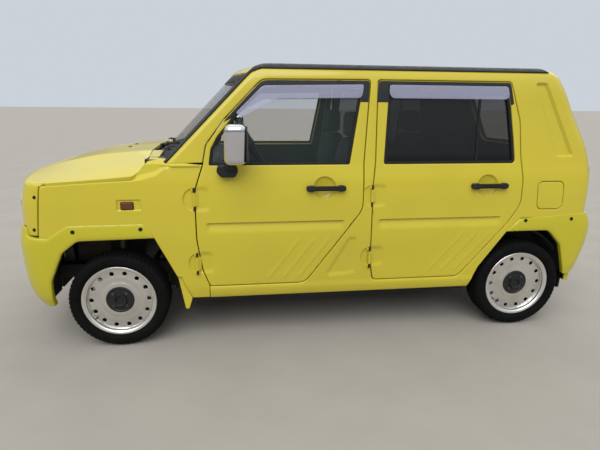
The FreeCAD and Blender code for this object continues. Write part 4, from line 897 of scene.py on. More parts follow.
# Side frame: pillars, cant rail, sill and rear quarter
SEAM_Z = 1021.5
FRAME_TOP_Z = 1526.0
QUARTER_LOW_Z = 692.0
SILL_ROLL = 5.0
PILLAR_FOOT_Y = 645.0
PILLAR_TOP_Y = 600.0
FRAME_T = 34.0


def frame_outline():
    aperture = grown(rounded(FRONT_DOOR), DOOR_GAP)
    first = next(i for i, p in enumerate(aperture) if p[1] > SEAM_Z and p[0] > -600.0)
    loop = [tuple(p) for p in aperture[first:]]
    loop += [(-497.0, 332.0), (-497.0, 263.0), (REAR_X + 320.0, 263.0), (REAR_X + 270.0, 390.0),
             (REAR_X + 114.0, 618.0), (REAR_X + 40.0, QUARTER_LOW_Z)]
    for z in [*np.arange(QUARTER_LOW_Z, 1500.0, 24.0), ROOF_EDGE_Z]:
        loop.append(BODY.spot(TAILGATE_HALF + DOOR_GAP, z, -1))
    loop.append(BODY.spot(598.0, FRAME_TOP_Z, -1))
    for z in np.arange(FRAME_TOP_Z, SEAM_Z, -24.0):
        y = PILLAR_FOOT_Y + (PILLAR_TOP_Y - PILLAR_FOOT_Y) * (z - BELT_Z) / (1492.0 - BELT_Z)
        loop.append(BODY.spot(y, z, 1))
    loop.append(BODY.spot(PILLAR_FOOT_Y, SEAM_Z, 1))
    return dense(loop + loop[:1], 13.0)[:-1]


TAIL_LAMP = rectangle(612.0, 690.0, 760.0, 990.0, 12.0, 20.0)


def frame_relief():
    relief = Relief()
    for seam, z, half in REAR_HINGES:
        relief.dish(seam, z, half, half, half, depth=PAD_DEPTH, soft=7.0)
    relief.sunk([(-1286.0, 604.0, 16.0), (-1328.0, 600.0, 16.0), (-1328.0, 384.0, 24.0),
                 (-1152.0, 374.0, 16.0)], depth=6.0, soft=8.0)
    relief.sunk([(-2356.0, 1462.0, 14.0), (-2430.0, 1462.0, 20.0), (-2622.0, 1046.0, 16.0),
                 (-2508.0, 1046.0, 16.0)], depth=14.0, soft=13.0)
    return relief


def sill_roll(x, z):
    """The sill stands out under the doors and rolls in again at its foot."""
    rise = smoothstep((330.0 - z) / 12.0) * smoothstep((z - 262.0) / 30.0 + 0.4)
    return np.where((z < SILL_TOP_Z) & (x > REAR_X + 250.0), SILL_ROLL * rise, 0.0)


frame_lines = frame_relief()
frame_lines.creases.append([(-500.0, 322.0), (REAR_X + 300.0, 322.0)])
frame_lines.parts.append(sill_roll)


def side_frame(name, holes):
    return wall_panel(name, BODY, [frame_outline()] + holes, step=13.0, thick=FRAME_T,
                      materials=[PAINT, GREY_TRIM], relief=frame_lines, inside_slot=1)


frame_holes = [grown(rounded(REAR_DOOR), DOOR_GAP), BODY.on_end(rounded(TAIL_LAMP), -1)]
left_frame = side_frame("side_frame_left", frame_holes + [grown(rounded(FUEL_FLAP), 4.0)])
right_form = side_frame("side_frame_form", frame_holes)
right_frame = flipped(right_form, "side_frame_right")
bpy.data.objects.remove(right_form)
for side in (left_frame, right_frame):
    add_piece(side, "body", "side_frames")

flap = wall_panel("fuel_flap_skin", BODY, [rounded(FUEL_FLAP)], step=14.0, thick=13.0,
                  materials=[PAINT])
add_piece(flap, "fuel_flap", "fuel_flap")

# Fender, with its shoulder under the bonnet's seam and a recess for the side lamp
SIDE_LAMP = (-90.0, 810.0)
# Columns: x, z where the shoulder starts.
SHOULDER = [(-300.0, 1004.0), (-240.0, 962.0), (-150.0, 938.0), (365.0, 910.0)]
SHOULDER_END_X = -330.0
SHOULDER_SLOPE = 0.85


def shoulder(x, z):
    """The fender leans in above its shoulder, which fades out towards the door."""
    above = np.maximum(z - np.interp(x, *np.array(SHOULDER).T), 0.0)
    fade = smoothstep((x - SHOULDER_END_X) / 60.0)
    return np.where(x > SHOULDER_END_X, -SHOULDER_SLOPE * above * fade, 0.0)


fender_lines = Relief()
for seam, z, half in FRONT_HINGES:
    fender_lines.dish(seam, z, half, half, half, depth=PAD_DEPTH, soft=7.0)
fender_lines.dish(SIDE_LAMP[0] - 8.0, SIDE_LAMP[1] + 2.0, 64.0, 31.0, 8.0, depth=7.0, soft=7.0)
fender_lines.parts.append(shoulder)
fender_lines.creases.append(SHOULDER[::-1])
FENDER = [
    (367.0, 642.0, 0.0),
    (331.0, 920.0, 8.0),
    (-118.0, 948.0, 20.0),
    (-179.0, 1019.0, 0.0),
    (-300.0, 1019.5, 0.0),
    (-481.0, 1019.0, 0.0),
    (-434.0, 880.0, 200.0),
    (-434.0, 620.0, 200.0),
    (-456.0, 440.0, 120.0),
    (-494.0, 338.0, 15.0),
    (-493.0, 264.0, 0.0),
    (-397.0, 264.0, 0.0),
    (-362.0, 347.0, 0.0),
    (-345.0, 398.0, 0.0),
    (-322.0, 400.0, 0.0),
    (-209.0, 642.0, 0.0),
    (-160.0, 704.0, 20.0),
    (219.0, 702.0, 20.0),
    (322.0, 632.0, 20.0),
]
fender = wall_panel("fender_left", NOSE, [rounded(FENDER)], step=12.0, thick=26.0,
                    materials=[PAINT], relief=fender_lines)
mirrored_pair(fender, "body", "fenders")


# Panels across the car's ends

def middle_line(wall, sign, low, high):
    """The wall's line on y = 0, from low to high."""
    count = max(1, int(abs(high - low) / LINE_STEP))
    z = np.linspace(low, high, count + 1)
    return np.stack([wall.u_at(0.0, z, sign), z], axis=1)


def cut_across(wall, sign, corners):
    """Half of a hole that crosses y = 0: from its low middle, round it, to its high middle."""
    loop = rounded(corners)
    loop = loop[loop[:, 0] > 0.5]
    low, high = loop[:, 1].min(), loop[:, 1].max()
    start = int(np.argmin(loop[:, 0] + (loop[:, 1] - low) * 1e3))
    loop = np.roll(loop, -start, axis=0)
    if loop[-1, 1] < (low + high) / 2:
        loop = np.roll(loop[::-1], 1, axis=0)
    return dense([wall.spot(0.0, low, sign), *wall.on_end(loop, sign),
                  wall.spot(0.0, high, sign)])


def half_loop(pieces):
    """Closed outline of chains, with doubled points left out."""
    line = np.concatenate([np.atleast_2d(np.asarray(p, float)) for p in pieces])
    apart = np.hypot(*(line - np.roll(line, 1, axis=0)).T)
    return line[apart > 0.5]


# Front panel, with dished lamp surrounds and the grille's slot
PANEL_LOW_Z = 704.0
PANEL_TOP_Z = 919.0
PANEL_SIDE_X = 373.0
PANEL_TOP_X = 337.0
GRILLE_HOLE = rectangle(-GRILLE_HALF, GRILLE_HALF, GRILLE_LOW, GRILLE_HIGH, 20.0)
LAMP_RING = 110.0


def front_panel():
    outer = half_loop([
        middle_line(NOSE, 1, PANEL_LOW_Z, GRILLE_LOW),
        cut_across(NOSE, 1, GRILLE_HOLE),
        middle_line(NOSE, 1, GRILLE_HIGH, PANEL_TOP_Z),
        dense([NOSE.spot(0.0, PANEL_TOP_Z, 1), (PANEL_TOP_X, 923.0), (PANEL_SIDE_X, 658.0),
               (432.0, 658.0), (440.0, PANEL_LOW_Z), NOSE.spot(0.0, PANEL_LOW_Z, 1)])])
    relief = Relief()
    relief.dish(*NOSE.spot(LAMP_Y, LAMP_Z, 1), LAMP_RING, LAMP_RING, LAMP_RING, depth=13.0,
                soft=18.0)
    relief.dish(*NOSE.spot(0.0, 800.0, 1), GRILLE_HALF + 18.0, 76.0, 30.0, depth=6.0, soft=9.0)
    return wall_panel("front_panel_skin", NOSE,
                      [outer, NOSE.on_end(circle(LAMP_R + 2.0, 48, LAMP_Y, LAMP_Z), 1)], step=11.0,
                      thick=24.0, materials=[PAINT, DARK_TRIM], relief=relief, whole=True,
                      inside_slot=1)


add_piece(front_panel(), "body", "front_panel")

# Bumpers, with the wheel flares on their ends
INTAKE = [(-310.0, 300.0, 20.0), (-290.0, 420.0, 20.0), (290.0, 420.0, 20.0),
          (310.0, 300.0, 20.0)]
BUMPER_LOW_Z = 238.0
REAR_LOW_Z = 321.0
BUMPER_TOP_Z = 700.0
REAR_TOP_Z = 712.0
BELT_EDGES_Z = (605.0, 652.0)
FRONT_FLARE = [(440.0, 700.0, 0.0), (430.0, 652.0, 10.0), (325.0, 640.0, 30.0),
               (222.0, 712.0, 20.0), (-165.0, 714.0, 30.0), (-219.0, 630.0, 0.0),
               (180.0, 624.0, 60.0), (262.0, 560.0, 60.0), (335.0, 400.0, 60.0),
               (350.0, BUMPER_LOW_Z, 0.0)]
REAR_FLARE = [(REAR_X + 30.0, 704.0, 30.0), (REAR_X + 119.0, 612.0, 0.0),
              (REAR_X - 150.0, 612.0, 60.0), (REAR_X - 240.0, 520.0, 60.0),
              (REAR_X - 302.0, REAR_LOW_Z, 0.0)]
FLARE_ROLL = 9.0


def rounded_chain(corners):
    """The rounded outline of an open chain of corners."""
    first, last = np.array(corners[0][:2]), np.array(corners[-1][:2])
    loop = rounded(corners)
    start = int(np.argmin(np.hypot(*(loop - first).T)))
    loop = np.roll(loop, -start, axis=0)
    end = int(np.argmin(np.hypot(*(loop - last).T)))
    return loop[:end + 1]


def rolled_edge(chain):
    """Form that bends the surface inward close to a chain."""
    def part(x, z):
        near = np.clip(1 - chain_distance(x, z, chain) / FLARE_ROLL, 0, 1)
        return -FLARE_ROLL * 0.5 * (1 - np.sqrt(1 - near ** 2))
    return part


def front_bumper():
    arch = rounded_chain(FRONT_FLARE)
    outer = half_loop([
        middle_line(BELT, 1, BUMPER_LOW_Z, INTAKE[0][1]),
        cut_across(BELT, 1, INTAKE),
        middle_line(BELT, 1, INTAKE[1][1], BUMPER_TOP_Z),
        dense([BELT.spot(0.0, BUMPER_TOP_Z, 1), arch[0]]), arch,
        dense([arch[-1], BELT.spot(0.0, BUMPER_LOW_Z, 1)])])
    relief = Relief()
    relief.parts.append(rolled_edge(arch))
    middle_u, dish_z = BELT.spot(0.0, 520.0, 1)
    relief.dish(middle_u, dish_z, 174.0, 91.0, 12.0, depth=8.0, soft=5.0)
    relief.creases += [[(-200.0, z), (middle_u, z)] for z in BELT_EDGES_Z]
    return wall_panel("front_bumper_skin", BELT, [outer], step=12.0, thick=30.0,
                      materials=[BELT_PAINT, BLACK], relief=relief, whole=True, inside_slot=1)


def rear_bumper():
    arch = rounded_chain(REAR_FLARE)[::-1]
    top = BELT.spot(0.0, REAR_TOP_Z, -1)
    outer = half_loop([
        middle_line(BELT, -1, REAR_TOP_Z, REAR_LOW_Z),
        dense([BELT.spot(0.0, REAR_LOW_Z, -1), arch[0]]), arch,
        dense([arch[-1], (TAIL_CORNER_U, REAR_TOP_Z), top])])
    relief = Relief()
    relief.parts.append(rolled_edge(arch[:-1]))
    relief.dish(top[0], 520.0, 330.0, 40.0, 14.0, depth=7.0, soft=8.0)
    relief.creases += [[(-2240.0, z), (top[0], z)] for z in BELT_EDGES_Z]
    return wall_panel("rear_bumper_skin", BELT, [outer], step=12.0, thick=30.0,
                      materials=[BELT_PAINT, BLACK], relief=relief, whole=True, inside_slot=1)


add_piece(front_bumper(), "body", "front_bumper")
add_piece(rear_bumper(), "body", "rear_bumper")

# Tailgate and its window
TAILGATE_LOW_Z = 722.0
TAILGATE_TOP_Z = 1505.0
TAIL_WINDOW = [(-530.0, 1060.0, 60.0), (-500.0, 1420.0, 60.0), (500.0, 1420.0, 60.0),
               (530.0, 1060.0, 60.0)]
# Recess of the plate; the plate is a little smaller.
PLATE_TOP = 950.0
PLATE_HEIGHT = 171.0
PLATE_HALF = 168.0
# Step below the window: its foot and how softly it goes in.
STEP_Z = 1044.0
STEP_SOFT = 10.0


def tailgate():
    side_edge = rounded([(TAILGATE_HALF, TAILGATE_LOW_Z, 40.0), (TAILGATE_HALF, 1020.0, 0.0),
                         (572.0, TAILGATE_TOP_Z, 40.0), (0.0, TAILGATE_TOP_Z, 0.0),
                         (0.0, TAILGATE_LOW_Z, 0.0)], 12.0)
    side_edge = side_edge[side_edge[:, 0] > 1.0]
    start = int(np.argmin(side_edge[:, 0] + side_edge[:, 1] * 1e3))
    side_edge = np.roll(side_edge, -start, axis=0)
    if side_edge[1, 0] < side_edge[0, 0]:
        side_edge = np.roll(side_edge[::-1], 1, axis=0)
    outer = half_loop([
        middle_line(BODY, -1, TAILGATE_TOP_Z, TAIL_WINDOW[1][1]),
        cut_across(BODY, -1, TAIL_WINDOW)[::-1],
        middle_line(BODY, -1, TAIL_WINDOW[0][1], TAILGATE_LOW_Z), BODY.on_end(side_edge, -1)])
    relief = Relief()
    middle_u, _ = BODY.spot(0.0, 860.0, -1)
    relief.dish(middle_u, PLATE_TOP - PLATE_HEIGHT / 2, PLATE_HALF + 14.0,
                PLATE_HEIGHT / 2 + 12.0, 14.0, depth=7.0, soft=6.0)
    relief.parts.append(lambda x, z: -5.0 * smoothstep((z - STEP_Z) / STEP_SOFT)
                        * smoothstep((1440.0 - z) / 12.0))
    for z in (STEP_Z, STEP_Z + STEP_SOFT):
        relief.creases.append([(middle_u, z), (TAIL_CORNER_U, z)])
    return wall_panel("tailgate_skin", BODY, [outer], step=12.0, thick=42.0,
                      materials=[PAINT, DARK_TRIM], relief=relief, whole=True, inside_slot=1)


add_piece(tailgate(), "tailgate", "tailgate")


def end_pane(name, corners, sign, set_in, thick, material, body, *nodes):
    """Glass across an end of the body, in one piece from side to side."""
    loop = BODY.on_end(rounded(corners, 25.0), sign)
    pane = wall_panel(name, BODY, [loop], step=30.0, thick=thick, materials=[material],
                      set_in=set_in, edge=0.5)
    add_piece(pane, body, *nodes)


def end_band(name, corners, width, sign, set_in, thick, material, body):
    """Band of even width just inside an outline on an end of the body."""
    loop = BODY.on_end(rounded(corners), sign)
    band = wall_panel(name, BODY, [loop, grown(loop, -width)], step=12.0, thick=thick,
                      materials=[material], set_in=set_in, edge=0.6)
    add_piece(band, body)


SCREEN = [(-632.0, 1040.0, 30.0), (-588.0, 1486.0, 60.0), (588.0, 1486.0, 60.0),
          (632.0, 1040.0, 30.0)]
end_pane("windscreen_pane", SCREEN, 1, 6.0, 5.0, CLEAR_GLASS, "body", "windscreen")
end_band("windscreen_seal", SCREEN, 34.0, 1, 5.0, 1.0, RUBBER, "body")
end_pane("tail_pane", TAIL_WINDOW, -1, 16.0, 5.0, SIDE_GLASS, "tailgate", "tailgate_glass")
end_band("tail_seal", TAIL_WINDOW, 16.0, -1, 6.0, 12.0, RUBBER, "tailgate")


# Tops: the bonnet and the roof, as heights over x and y

def top_panel(name, height, loops, step, thick, materials, creases=()):
    """Sheet over outlines in x and y, made for the left half and mirrored."""
    xy, faces = patch(loops, step, creases)

    def surface(x, y):
        return np.stack([x, y, height(x, y)], axis=-1)

    x, y = xy[:, 0], xy[:, 1]
    outer = surface(x, y)
    normal = unit(np.cross(surface(x + 1, y) - surface(x - 1, y),
                           surface(x, y + 1) - surface(x, y - 1)))
    inner = outer - normal * thick
    inner[y < 0.2, 1] = 0.0
    outer, inner, faces = doubled(outer, inner, faces)
    return sheet_solid(name, outer, inner, faces, materials, inside_slot=1)


# Columns: x, centre z, z where the raised middle starts, crease z, seam z.
BONNET_STATIONS = [
    (-200.0, 1074.0, 1064.0, 1010.0, 968.0),
    (-60.0, 1064.0, 1054.0, 997.0, 955.0),
    (125.0, 1046.0, 1036.0, 975.0, 942.0),
    (300.0, 1012.0, 1002.0, 955.0, 932.0),
    (420.0, 978.0, 970.0, 940.0, 925.0),
    (500.0, 952.0, 948.0, 936.0, 926.0),
    (540.0, 936.0, 934.0, 930.0, 922.0),
]
BONNET_LINES_Y = (0.0, 360.0, 425.0, 600.0, 735.0)
BONNET_HALF = 724.0
BONNET_SOFT = 9.0
BONNET_FRONT_IN = 50.0
# The front edge rolls down: over how much of the length, and how far
BONNET_ROLL = 22.0
BONNET_ROLL_DROP = 15.0
# BONNET_NOSE is the same at all heights, so one height does for it.
ANY_Z = 850.0
# The rounded rear corner: where it starts, how far it runs back and inward
CORNER_START_X = -112.0
CORNER_BACK = 58.0
CORNER_IN = 214.0
BONNET_REAR_X = -171.0
bonnet_curves = [smooth_curve(BONNET_STATIONS, column) for column in (1, 2, 3, 4)]


def bonnet_height(x, y):
    centre, bulge, crease, seam = [curve(x) for curve in bonnet_curves]
    rows = [centre, bulge, (crease + 2 * bulge) / 3, crease, seam]
    total = np.zeros(len(x))
    shifts = (-1.0, -0.5, 0.0, 0.5, 1.0)
    for shift in shifts:
        at = np.clip(np.abs(y + shift * BONNET_SOFT), 0.0, BONNET_LINES_Y[-1])
        z = rows[0].copy()
        for low, high, near, far in zip(BONNET_LINES_Y, BONNET_LINES_Y[1:], rows, rows[1:]):
            t = (at - low) / (high - low)
            z = np.where((at >= low) & (at <= high), near + (far - near) * t, z)
        total += z
    z = total / len(shifts)
    front = BONNET_NOSE.u_at(np.minimum(np.abs(y), BONNET_HALF - 1.0), ANY_Z, 1)
    at_front = BONNET_NOSE.point(front, ANY_Z)[..., 0]
    reach = np.clip(1 - (at_front - x) / BONNET_ROLL, 0.0, 1.0)
    return z - BONNET_ROLL_DROP * (1 - np.sqrt(1 - reach ** 2)) * (x > 250.0)


def same(value):
    """Function of z that has one value at all heights."""
    return lambda z: value + 0.0 * np.asarray(z)


BONNET_NOSE = Wall(same(BONNET_HALF), same(NOSE_X - BONNET_FRONT_IN), same(-700.0),
                   nose_r=NOSE_R, tail_r=10.0, nose_bow=NOSE_BOW, tail_bow=1.0)


def bonnet():
    ys = np.concatenate([np.linspace(0.0, 660.0, 56), np.linspace(668.0, 722.5, 8)])
    us = BONNET_NOSE.u_at(ys, ANY_Z, 1)
    front = BONNET_NOSE.point(us, ANY_Z)[:, :2]
    start = float(BONNET_NOSE.end(ANY_Z, 1)[5])
    sides = dense([(start, BONNET_HALF), (CORNER_START_X, BONNET_HALF)])
    arc = np.array([(CORNER_START_X - CORNER_BACK * math.sin(a),
                     BONNET_HALF - CORNER_IN * (1 - math.cos(a)))
                    for a in np.linspace(0.0, math.pi / 2, 20)])
    rear = dense([arc[-1], (BONNET_REAR_X, 0.0)])
    close = dense([(BONNET_REAR_X, 0.0), (NOSE_X - BONNET_FRONT_IN, 0.0)])
    outer = half_loop([front, sides, arc, rear, close])
    creases = [[(-165.0, y), (500.0 if y < 500 else 420.0, y)]
               for line in BONNET_LINES_Y[1:4] for y in (line - 14.0, line, line + 14.0)]
    return top_panel("bonnet_skin", bonnet_height, [outer], step=13.0, thick=20.0,
                     materials=[PAINT, CHASSIS], creases=creases)


add_piece(bonnet(), "bonnet", "bonnet")

# Corners of the cowl: body-coloured panels from the bonnet's edge to the windscreen's foot
CORNER_SIDE_Y = 716.0
CORNER_Z = 1019.5
CORNER_MIDDLE_Y = 345.0
CORNER_REAR_X = -236.0
# Columns: x, y of the fender's upper edge, from the rear forward.
CORNER_SIDE = [(-470.0, 716.0), (-330.0, 716.0), (-300.0, 708.0), (-240.0, 668.0),
               (-179.0, 656.0)]
CORNER_RISE = 24.0
CORNER_SLOPE = 0.7
CORNER_BLEND = 10.0


def bonnet_corner_x(y):
    """The bonnet's rounded rear corner, seen from above."""
    turn = np.arccos(np.clip(1 - (BONNET_HALF - y) / CORNER_IN, 0.0, 1.0))
    return CORNER_START_X - CORNER_BACK * np.sin(turn)


def corner_height(x, y):
    """The lower of two slopes, blended where they meet: one rises inward from the fender's
    edge, the other rises rearward from the bonnet's corner."""
    y = np.clip(y, 0.0, CORNER_SIDE_Y)
    edge_x = bonnet_corner_x(y)
    rise = bonnet_height(edge_x, y) - 1.0 + 1.2 * np.maximum(edge_x - x, 0.0)
    side_y = np.interp(x, *np.array(CORNER_SIDE).T)
    level = CORNER_Z + np.clip(CORNER_SLOPE * (side_y - y), 0.0, CORNER_RISE)
    level = level + 0.10 * np.maximum(512.0 - y, 0.0)
    mix = np.clip(0.5 + 0.5 * (level - rise) / CORNER_BLEND, 0.0, 1.0)
    return level + (rise - level) * mix - CORNER_BLEND * mix * (1 - mix)


def cowl_corner():
    ys = np.linspace(682.0, CORNER_MIDDLE_Y, 34)
    front = np.stack([bonnet_corner_x(ys) - 4.0, ys], axis=1)
    foot_ys = np.linspace(600.0, 690.0, 10)
    foot = BODY.point(BODY.u_at(foot_ys, 1030.0, 1), 1030.0)
    foot = np.stack([foot[..., 0] - 14.0, foot_ys], axis=1)
    rear = dense([front[-1], (CORNER_REAR_X, CORNER_MIDDLE_Y), (CORNER_REAR_X, 590.0), foot[0]])
    outer = half_loop([front, rear, foot, dense([foot[-1]] + CORNER_SIDE + [front[0]])])
    xy, faces = patch([outer], 9.0)
    x, y = xy[:, 0], xy[:, 1]
    top = np.stack([x, y, corner_height(x, y)], axis=-1)
    inner = top - np.array([0.0, 0.0, 9.0])
    mirrored_pair(sheet_solid("cowl_corner_left", top, inner, faces, [PAINT], edge=3.0), "body")


cowl_corner()

# Roof. The ends bow by the full amount at this half width.
ROOF_BOW_HALF = 582.0
ROOF_SIDE_END = 640.0
# How the three drops below blend
ROOF_POWER = 2.2
# Columns: half width, or distance in from the roof's end, and drop below its top.
ROOF_SIDE = smooth_curve([(0.0, 0.0), (300.0, 1.0), (470.0, 5.0), (560.0, 13.0), (590.0, 19.0),
                          (606.0, 26.0), (622.0, 38.0), (ROOF_SIDE_END, 62.0)], 1)
ROOF_ENDS = smooth_curve([(-30.0, 66.0), (-20.0, 58.0), (0.0, 38.0), (46.0, 19.0),
                          (140.0, 8.0), (273.0, 1.5), (420.0, 0.0), (900.0, 0.0)], 1)


def roof_front_x(y):
    bow = SCREEN_BOW * (np.abs(y) / ROOF_BOW_HALF) ** 2
    return screen_x(ROOF_EDGE_Z) - 4.0 - bow


def roof_tail_x(y):
    return TAIL_X + 290.0 + TAIL_BOW * (np.abs(y) / ROOF_BOW_HALF) ** 2


def roof_height(x, y):
    ahead = ROOF_ENDS(np.clip(roof_front_x(y) - x, -30.0, 900.0))
    behind = ROOF_ENDS(np.clip(x - roof_tail_x(y), -30.0, 900.0))
    beside = ROOF_SIDE(np.clip(np.abs(y), 0.0, ROOF_SIDE_END))
    drop = ahead ** ROOF_POWER + behind ** ROOF_POWER + beside ** ROOF_POWER
    return ROOF_Z - drop ** (1 / ROOF_POWER)


def roof():
    ys = np.linspace(0.0, 596.0, 50)
    front = np.stack([roof_front_x(ys) + 18.0, ys], axis=1)
    tail = np.stack([roof_tail_x(ys) + 2.0, ys], axis=1)
    outer = half_loop([front, dense([front[-1], tail[-1]], 16.0), tail[::-1],
                       dense([tail[0], front[0]], 16.0)])
    return top_panel("roof_skin", roof_height, [outer], step=18.0, thick=22.0,
                     materials=[PAINT, GREY_TRIM])


add_piece(roof(), "body", "roof")

# Black moulding up the windscreen pillar and along the roof's edge
MOULDING_T = 8.0


def moulding():
    low_line, high_line = [], []
    for z in np.arange(1026.0, 1492.0, 14.0):
        _, corner, _, _, _, start = BODY.end(z, 1)
        low_line.append((float(start + corner * 0.72), z))
        high_line.append((float(start + corner * 1.42), z))
    loop = half_loop([dense(high_line), dense([high_line[-1], (-752.0, 1516.0), (-800.0, 1531.0),
                                               (-840.0, 1534.0), (-2404.0, 1534.0),
                                               (-2441.0, 1513.0), (-806.0, 1511.0)]),
                      dense(low_line[::-1])])
    piece = wall_panel("moulding_left", BODY, [loop], step=9.0, thick=MOULDING_T + 4.0,
                       materials=[BLACK], set_in=-MOULDING_T, edge=4.0)
    mirrored_pair(piece, "body", "roof_mouldings")


moulding()


# Tools for small pieces

def slab(name, corners, plane, low, high, materials, step=8.0, edge=2.0, holes=()):
    """Flat piece: an outline in two axes, thick along the third. plane names the two axes of
    the outline, and the piece reaches from low to high along the one that is left."""
    loops = [rounded(corners, step)] + [rounded(hole, step) for hole in holes]
    uv, faces = patch(loops, step)
    axes = ["xyz".index(letter) for letter in plane]
    third = ({0, 1, 2} - set(axes)).pop()
    outer = np.zeros((len(uv), 3))
    outer[:, axes[0]], outer[:, axes[1]] = uv[:, 0], uv[:, 1]
    inner = outer.copy()
    outer[:, third], inner[:, third] = high, low
    return sheet_solid(name, outer, inner, faces, materials, edge=edge)


def ring_faces(rows, count, last):
    """Four-sided faces between rings of count points each; last is the number of bands."""
    faces = []
    for i in range(last):
        k = (i + 1) % rows
        for j in range(count):
            n = (j + 1) % count
            faces.append((i * count + j, i * count + n, k * count + n, k * count + j))
    return faces


# Turned profiles start and end at this radius, and weld() closes them there.
AXIS = 0.01


def spun(name, profile, centre, axis, materials, count=64, slots=None, angle=35.0):
    """Piece turned about an axis. Profile rows: radius, distance along the axis."""
    rows = len(profile)
    turn = np.arange(count) * 2 * math.pi / count
    radius, along = [column[:, None] for column in np.array(profile).T]
    flat = {"x": (1, 2, 0), "y": (2, 0, 1), "z": (0, 1, 2)}[axis]
    points = np.zeros((rows, count, 3))
    points[..., flat[0]] = radius * np.cos(turn)
    points[..., flat[1]] = radius * np.sin(turn)
    points[..., flat[2]] = along
    points = points.reshape(-1, 3) + np.asarray(centre, float)
    face_slots = np.repeat(slots or [0] * rows, count).tolist()
    piece = mesh_object(name, place(points), ring_faces(rows, count, rows), materials, angle,
                        face_slots)
    weld(piece)
    return piece


def weld(piece):
    """Joins doubled points and turns all faces outward."""
    form = bmesh.new()
    form.from_mesh(piece.data)
    bmesh.ops.remove_doubles(form, verts=form.verts, dist=1e-6)
    bmesh.ops.dissolve_degenerate(form, edges=form.edges, dist=1e-7)
    bmesh.ops.recalc_face_normals(form, faces=form.faces)
    form.to_mesh(piece.data)
    form.free()
    piece.data.update()


def mesh_from(form, name):
    mesh = bpy.data.meshes.new(name)
    form.to_mesh(mesh)
    form.free()
    return mesh


def blended(pieces, name):
    """One object out of several, with their materials kept."""
    materials, form = [], bmesh.new()
    for piece in pieces:
        renamed = []
        for material in piece.data.materials:
            if material not in materials:
                materials.append(material)
            renamed.append(materials.index(material))
        first = len(form.faces)
        form.from_mesh(piece.data)
        form.faces.ensure_lookup_table()
        for face in form.faces[first:]:
            face.material_index = renamed[face.material_index]
        bpy.data.objects.remove(piece)
    mesh = mesh_from(form, name)
    for material in materials:
        mesh.materials.append(material)
    return add_object(name, mesh)


def shaped(name, mesh, points, material):
    """Object whose mesh gets new places, in millimetres, and smooth shading."""
    for vert, point in zip(mesh.vertices, place(points)):
        vert.co = point
    mesh.materials.append(material)
    mesh.polygons.foreach_set("use_smooth", [True] * len(mesh.polygons))
    mesh.update()
    return add_object(name, mesh)


def rounded_block(name, low, high, bevel, material, segments=5, taper=None):
    """Block with rounded edges between two corners."""
    form = bmesh.new()
    bmesh.ops.create_cube(form, size=1.0)
    low, high = np.array(low, float), np.array(high, float)
    for vert in form.verts:
        vert.co = Vector(low + (high - low) * (np.array(vert.co) + 0.5))
        if taper:
            vert.co = Vector(taper(*vert.co))
    bmesh.ops.bevel(form, geom=list(form.edges), offset=bevel, segments=segments, profile=0.55,
                    affect="EDGES")
    mesh = mesh_from(form, name)
    block = shaped(name, mesh, [v.co[:] for v in mesh.vertices], material)
    mesh.set_sharp_from_angle(angle=math.radians(50.0))
    return block


def tube(name, points, radii, material, sides=12, flat=1.0):
    """Round or flattened bar through points, whose radius may change along it."""
    points = np.array(points, float)
    ways = unit(np.gradient(points, axis=0))
    across = unit(np.cross(ways, np.array([0.35, 0.0, 1.0])))
    above = np.cross(across, ways)
    turn = np.arange(sides) * 2 * math.pi / sides
    rings = [np.repeat(points[:1], sides, 0)]
    for point, a, b, r in zip(points, across, above, radii):
        rings.append(point + r * (np.cos(turn)[:, None] * a + flat * np.sin(turn)[:, None] * b))
    rings.append(np.repeat(points[-1:], sides, 0))
    faces = ring_faces(len(rings), sides, len(rings) - 1)
    piece = mesh_object(name, place(np.concatenate(rings)), faces, [material], 40.0)
    weld(piece)
    return piece


def bolt(centre, axis, radius, height, material, sides=6):
    """Hexagonal or round bolt head with a washer, standing out along an axis (x or y)."""
    sign = 1.0 if height > 0 else -1.0
    tall = abs(height)
    profile = [(AXIS, -2.0), (radius * 1.35, -2.0), (radius * 1.35, tall * 0.25),
               (radius, tall * 0.3), (radius, tall * 0.85), (radius * 0.82, tall), (AXIS, tall)]
    return spun("bolt", [(r, a * sign) for r, a in profile], centre, axis, [material],
                count=sides, angle=30.0)


# Wheels, drawn for the front left one
TYRE_R = AXLE_Z
TREAD_BLOCKS = 64
TREAD_STEPS = 4
GROOVE_DEPTH = 6.0
GROOVES_Y = (-30.0, 0.0, 30.0)
DISC_Y = 42.0
DISC_R = 173.0
DISC_INNER_R = 72.0
HOLE_COUNT = 14
HOLE_R = 12.0
HOLE_CIRCLE_R = 155.0
CAP_R = 80.0
NUT_CIRCLE_R = 50.0
DRUM_R = 68.0


def tyre_profile():
    """Half profile rows: radius, distance from the middle plane, how much of the tread's
    cross grooves the row takes."""
    rows = [(179.0, 55.0, 0.0), (186.0, 60.0, 0.0), (197.0, 62.5, 0.0), (202.5, 68.0, 0.0),
            (205.0, 72.4, 0.0), (207.0, 72.8, 0.0), (209.0, 75.4, 0.0), (216.0, 79.2, 0.0),
            (226.0, 82.0, 0.0), (236.0, 81.6, 0.0), (244.0, 79.8, 0.0), (245.5, 80.6, 0.0),
            (248.5, 79.8, 0.0), (250.0, 78.4, 0.0), (256.0, 75.8, 0.35), (261.5, 71.0, 0.8),
            (265.5, 63.5, 1.0), (267.6, 54.0, 1.0), (TYRE_R - 0.3, 40.0, 1.0)]
    for middle in (GROOVES_Y[2], GROOVES_Y[1]):
        for y, drop in ((middle + 4.5, 0.0), (middle + 3.2, GROOVE_DEPTH),
                        (middle - 3.2, GROOVE_DEPTH), (middle - 4.5, 0.0)):
            if y >= 0.0:
                rows.append((TYRE_R - 0.2 - drop, y, 0.55 if middle > 0 else 0.0))
    return rows


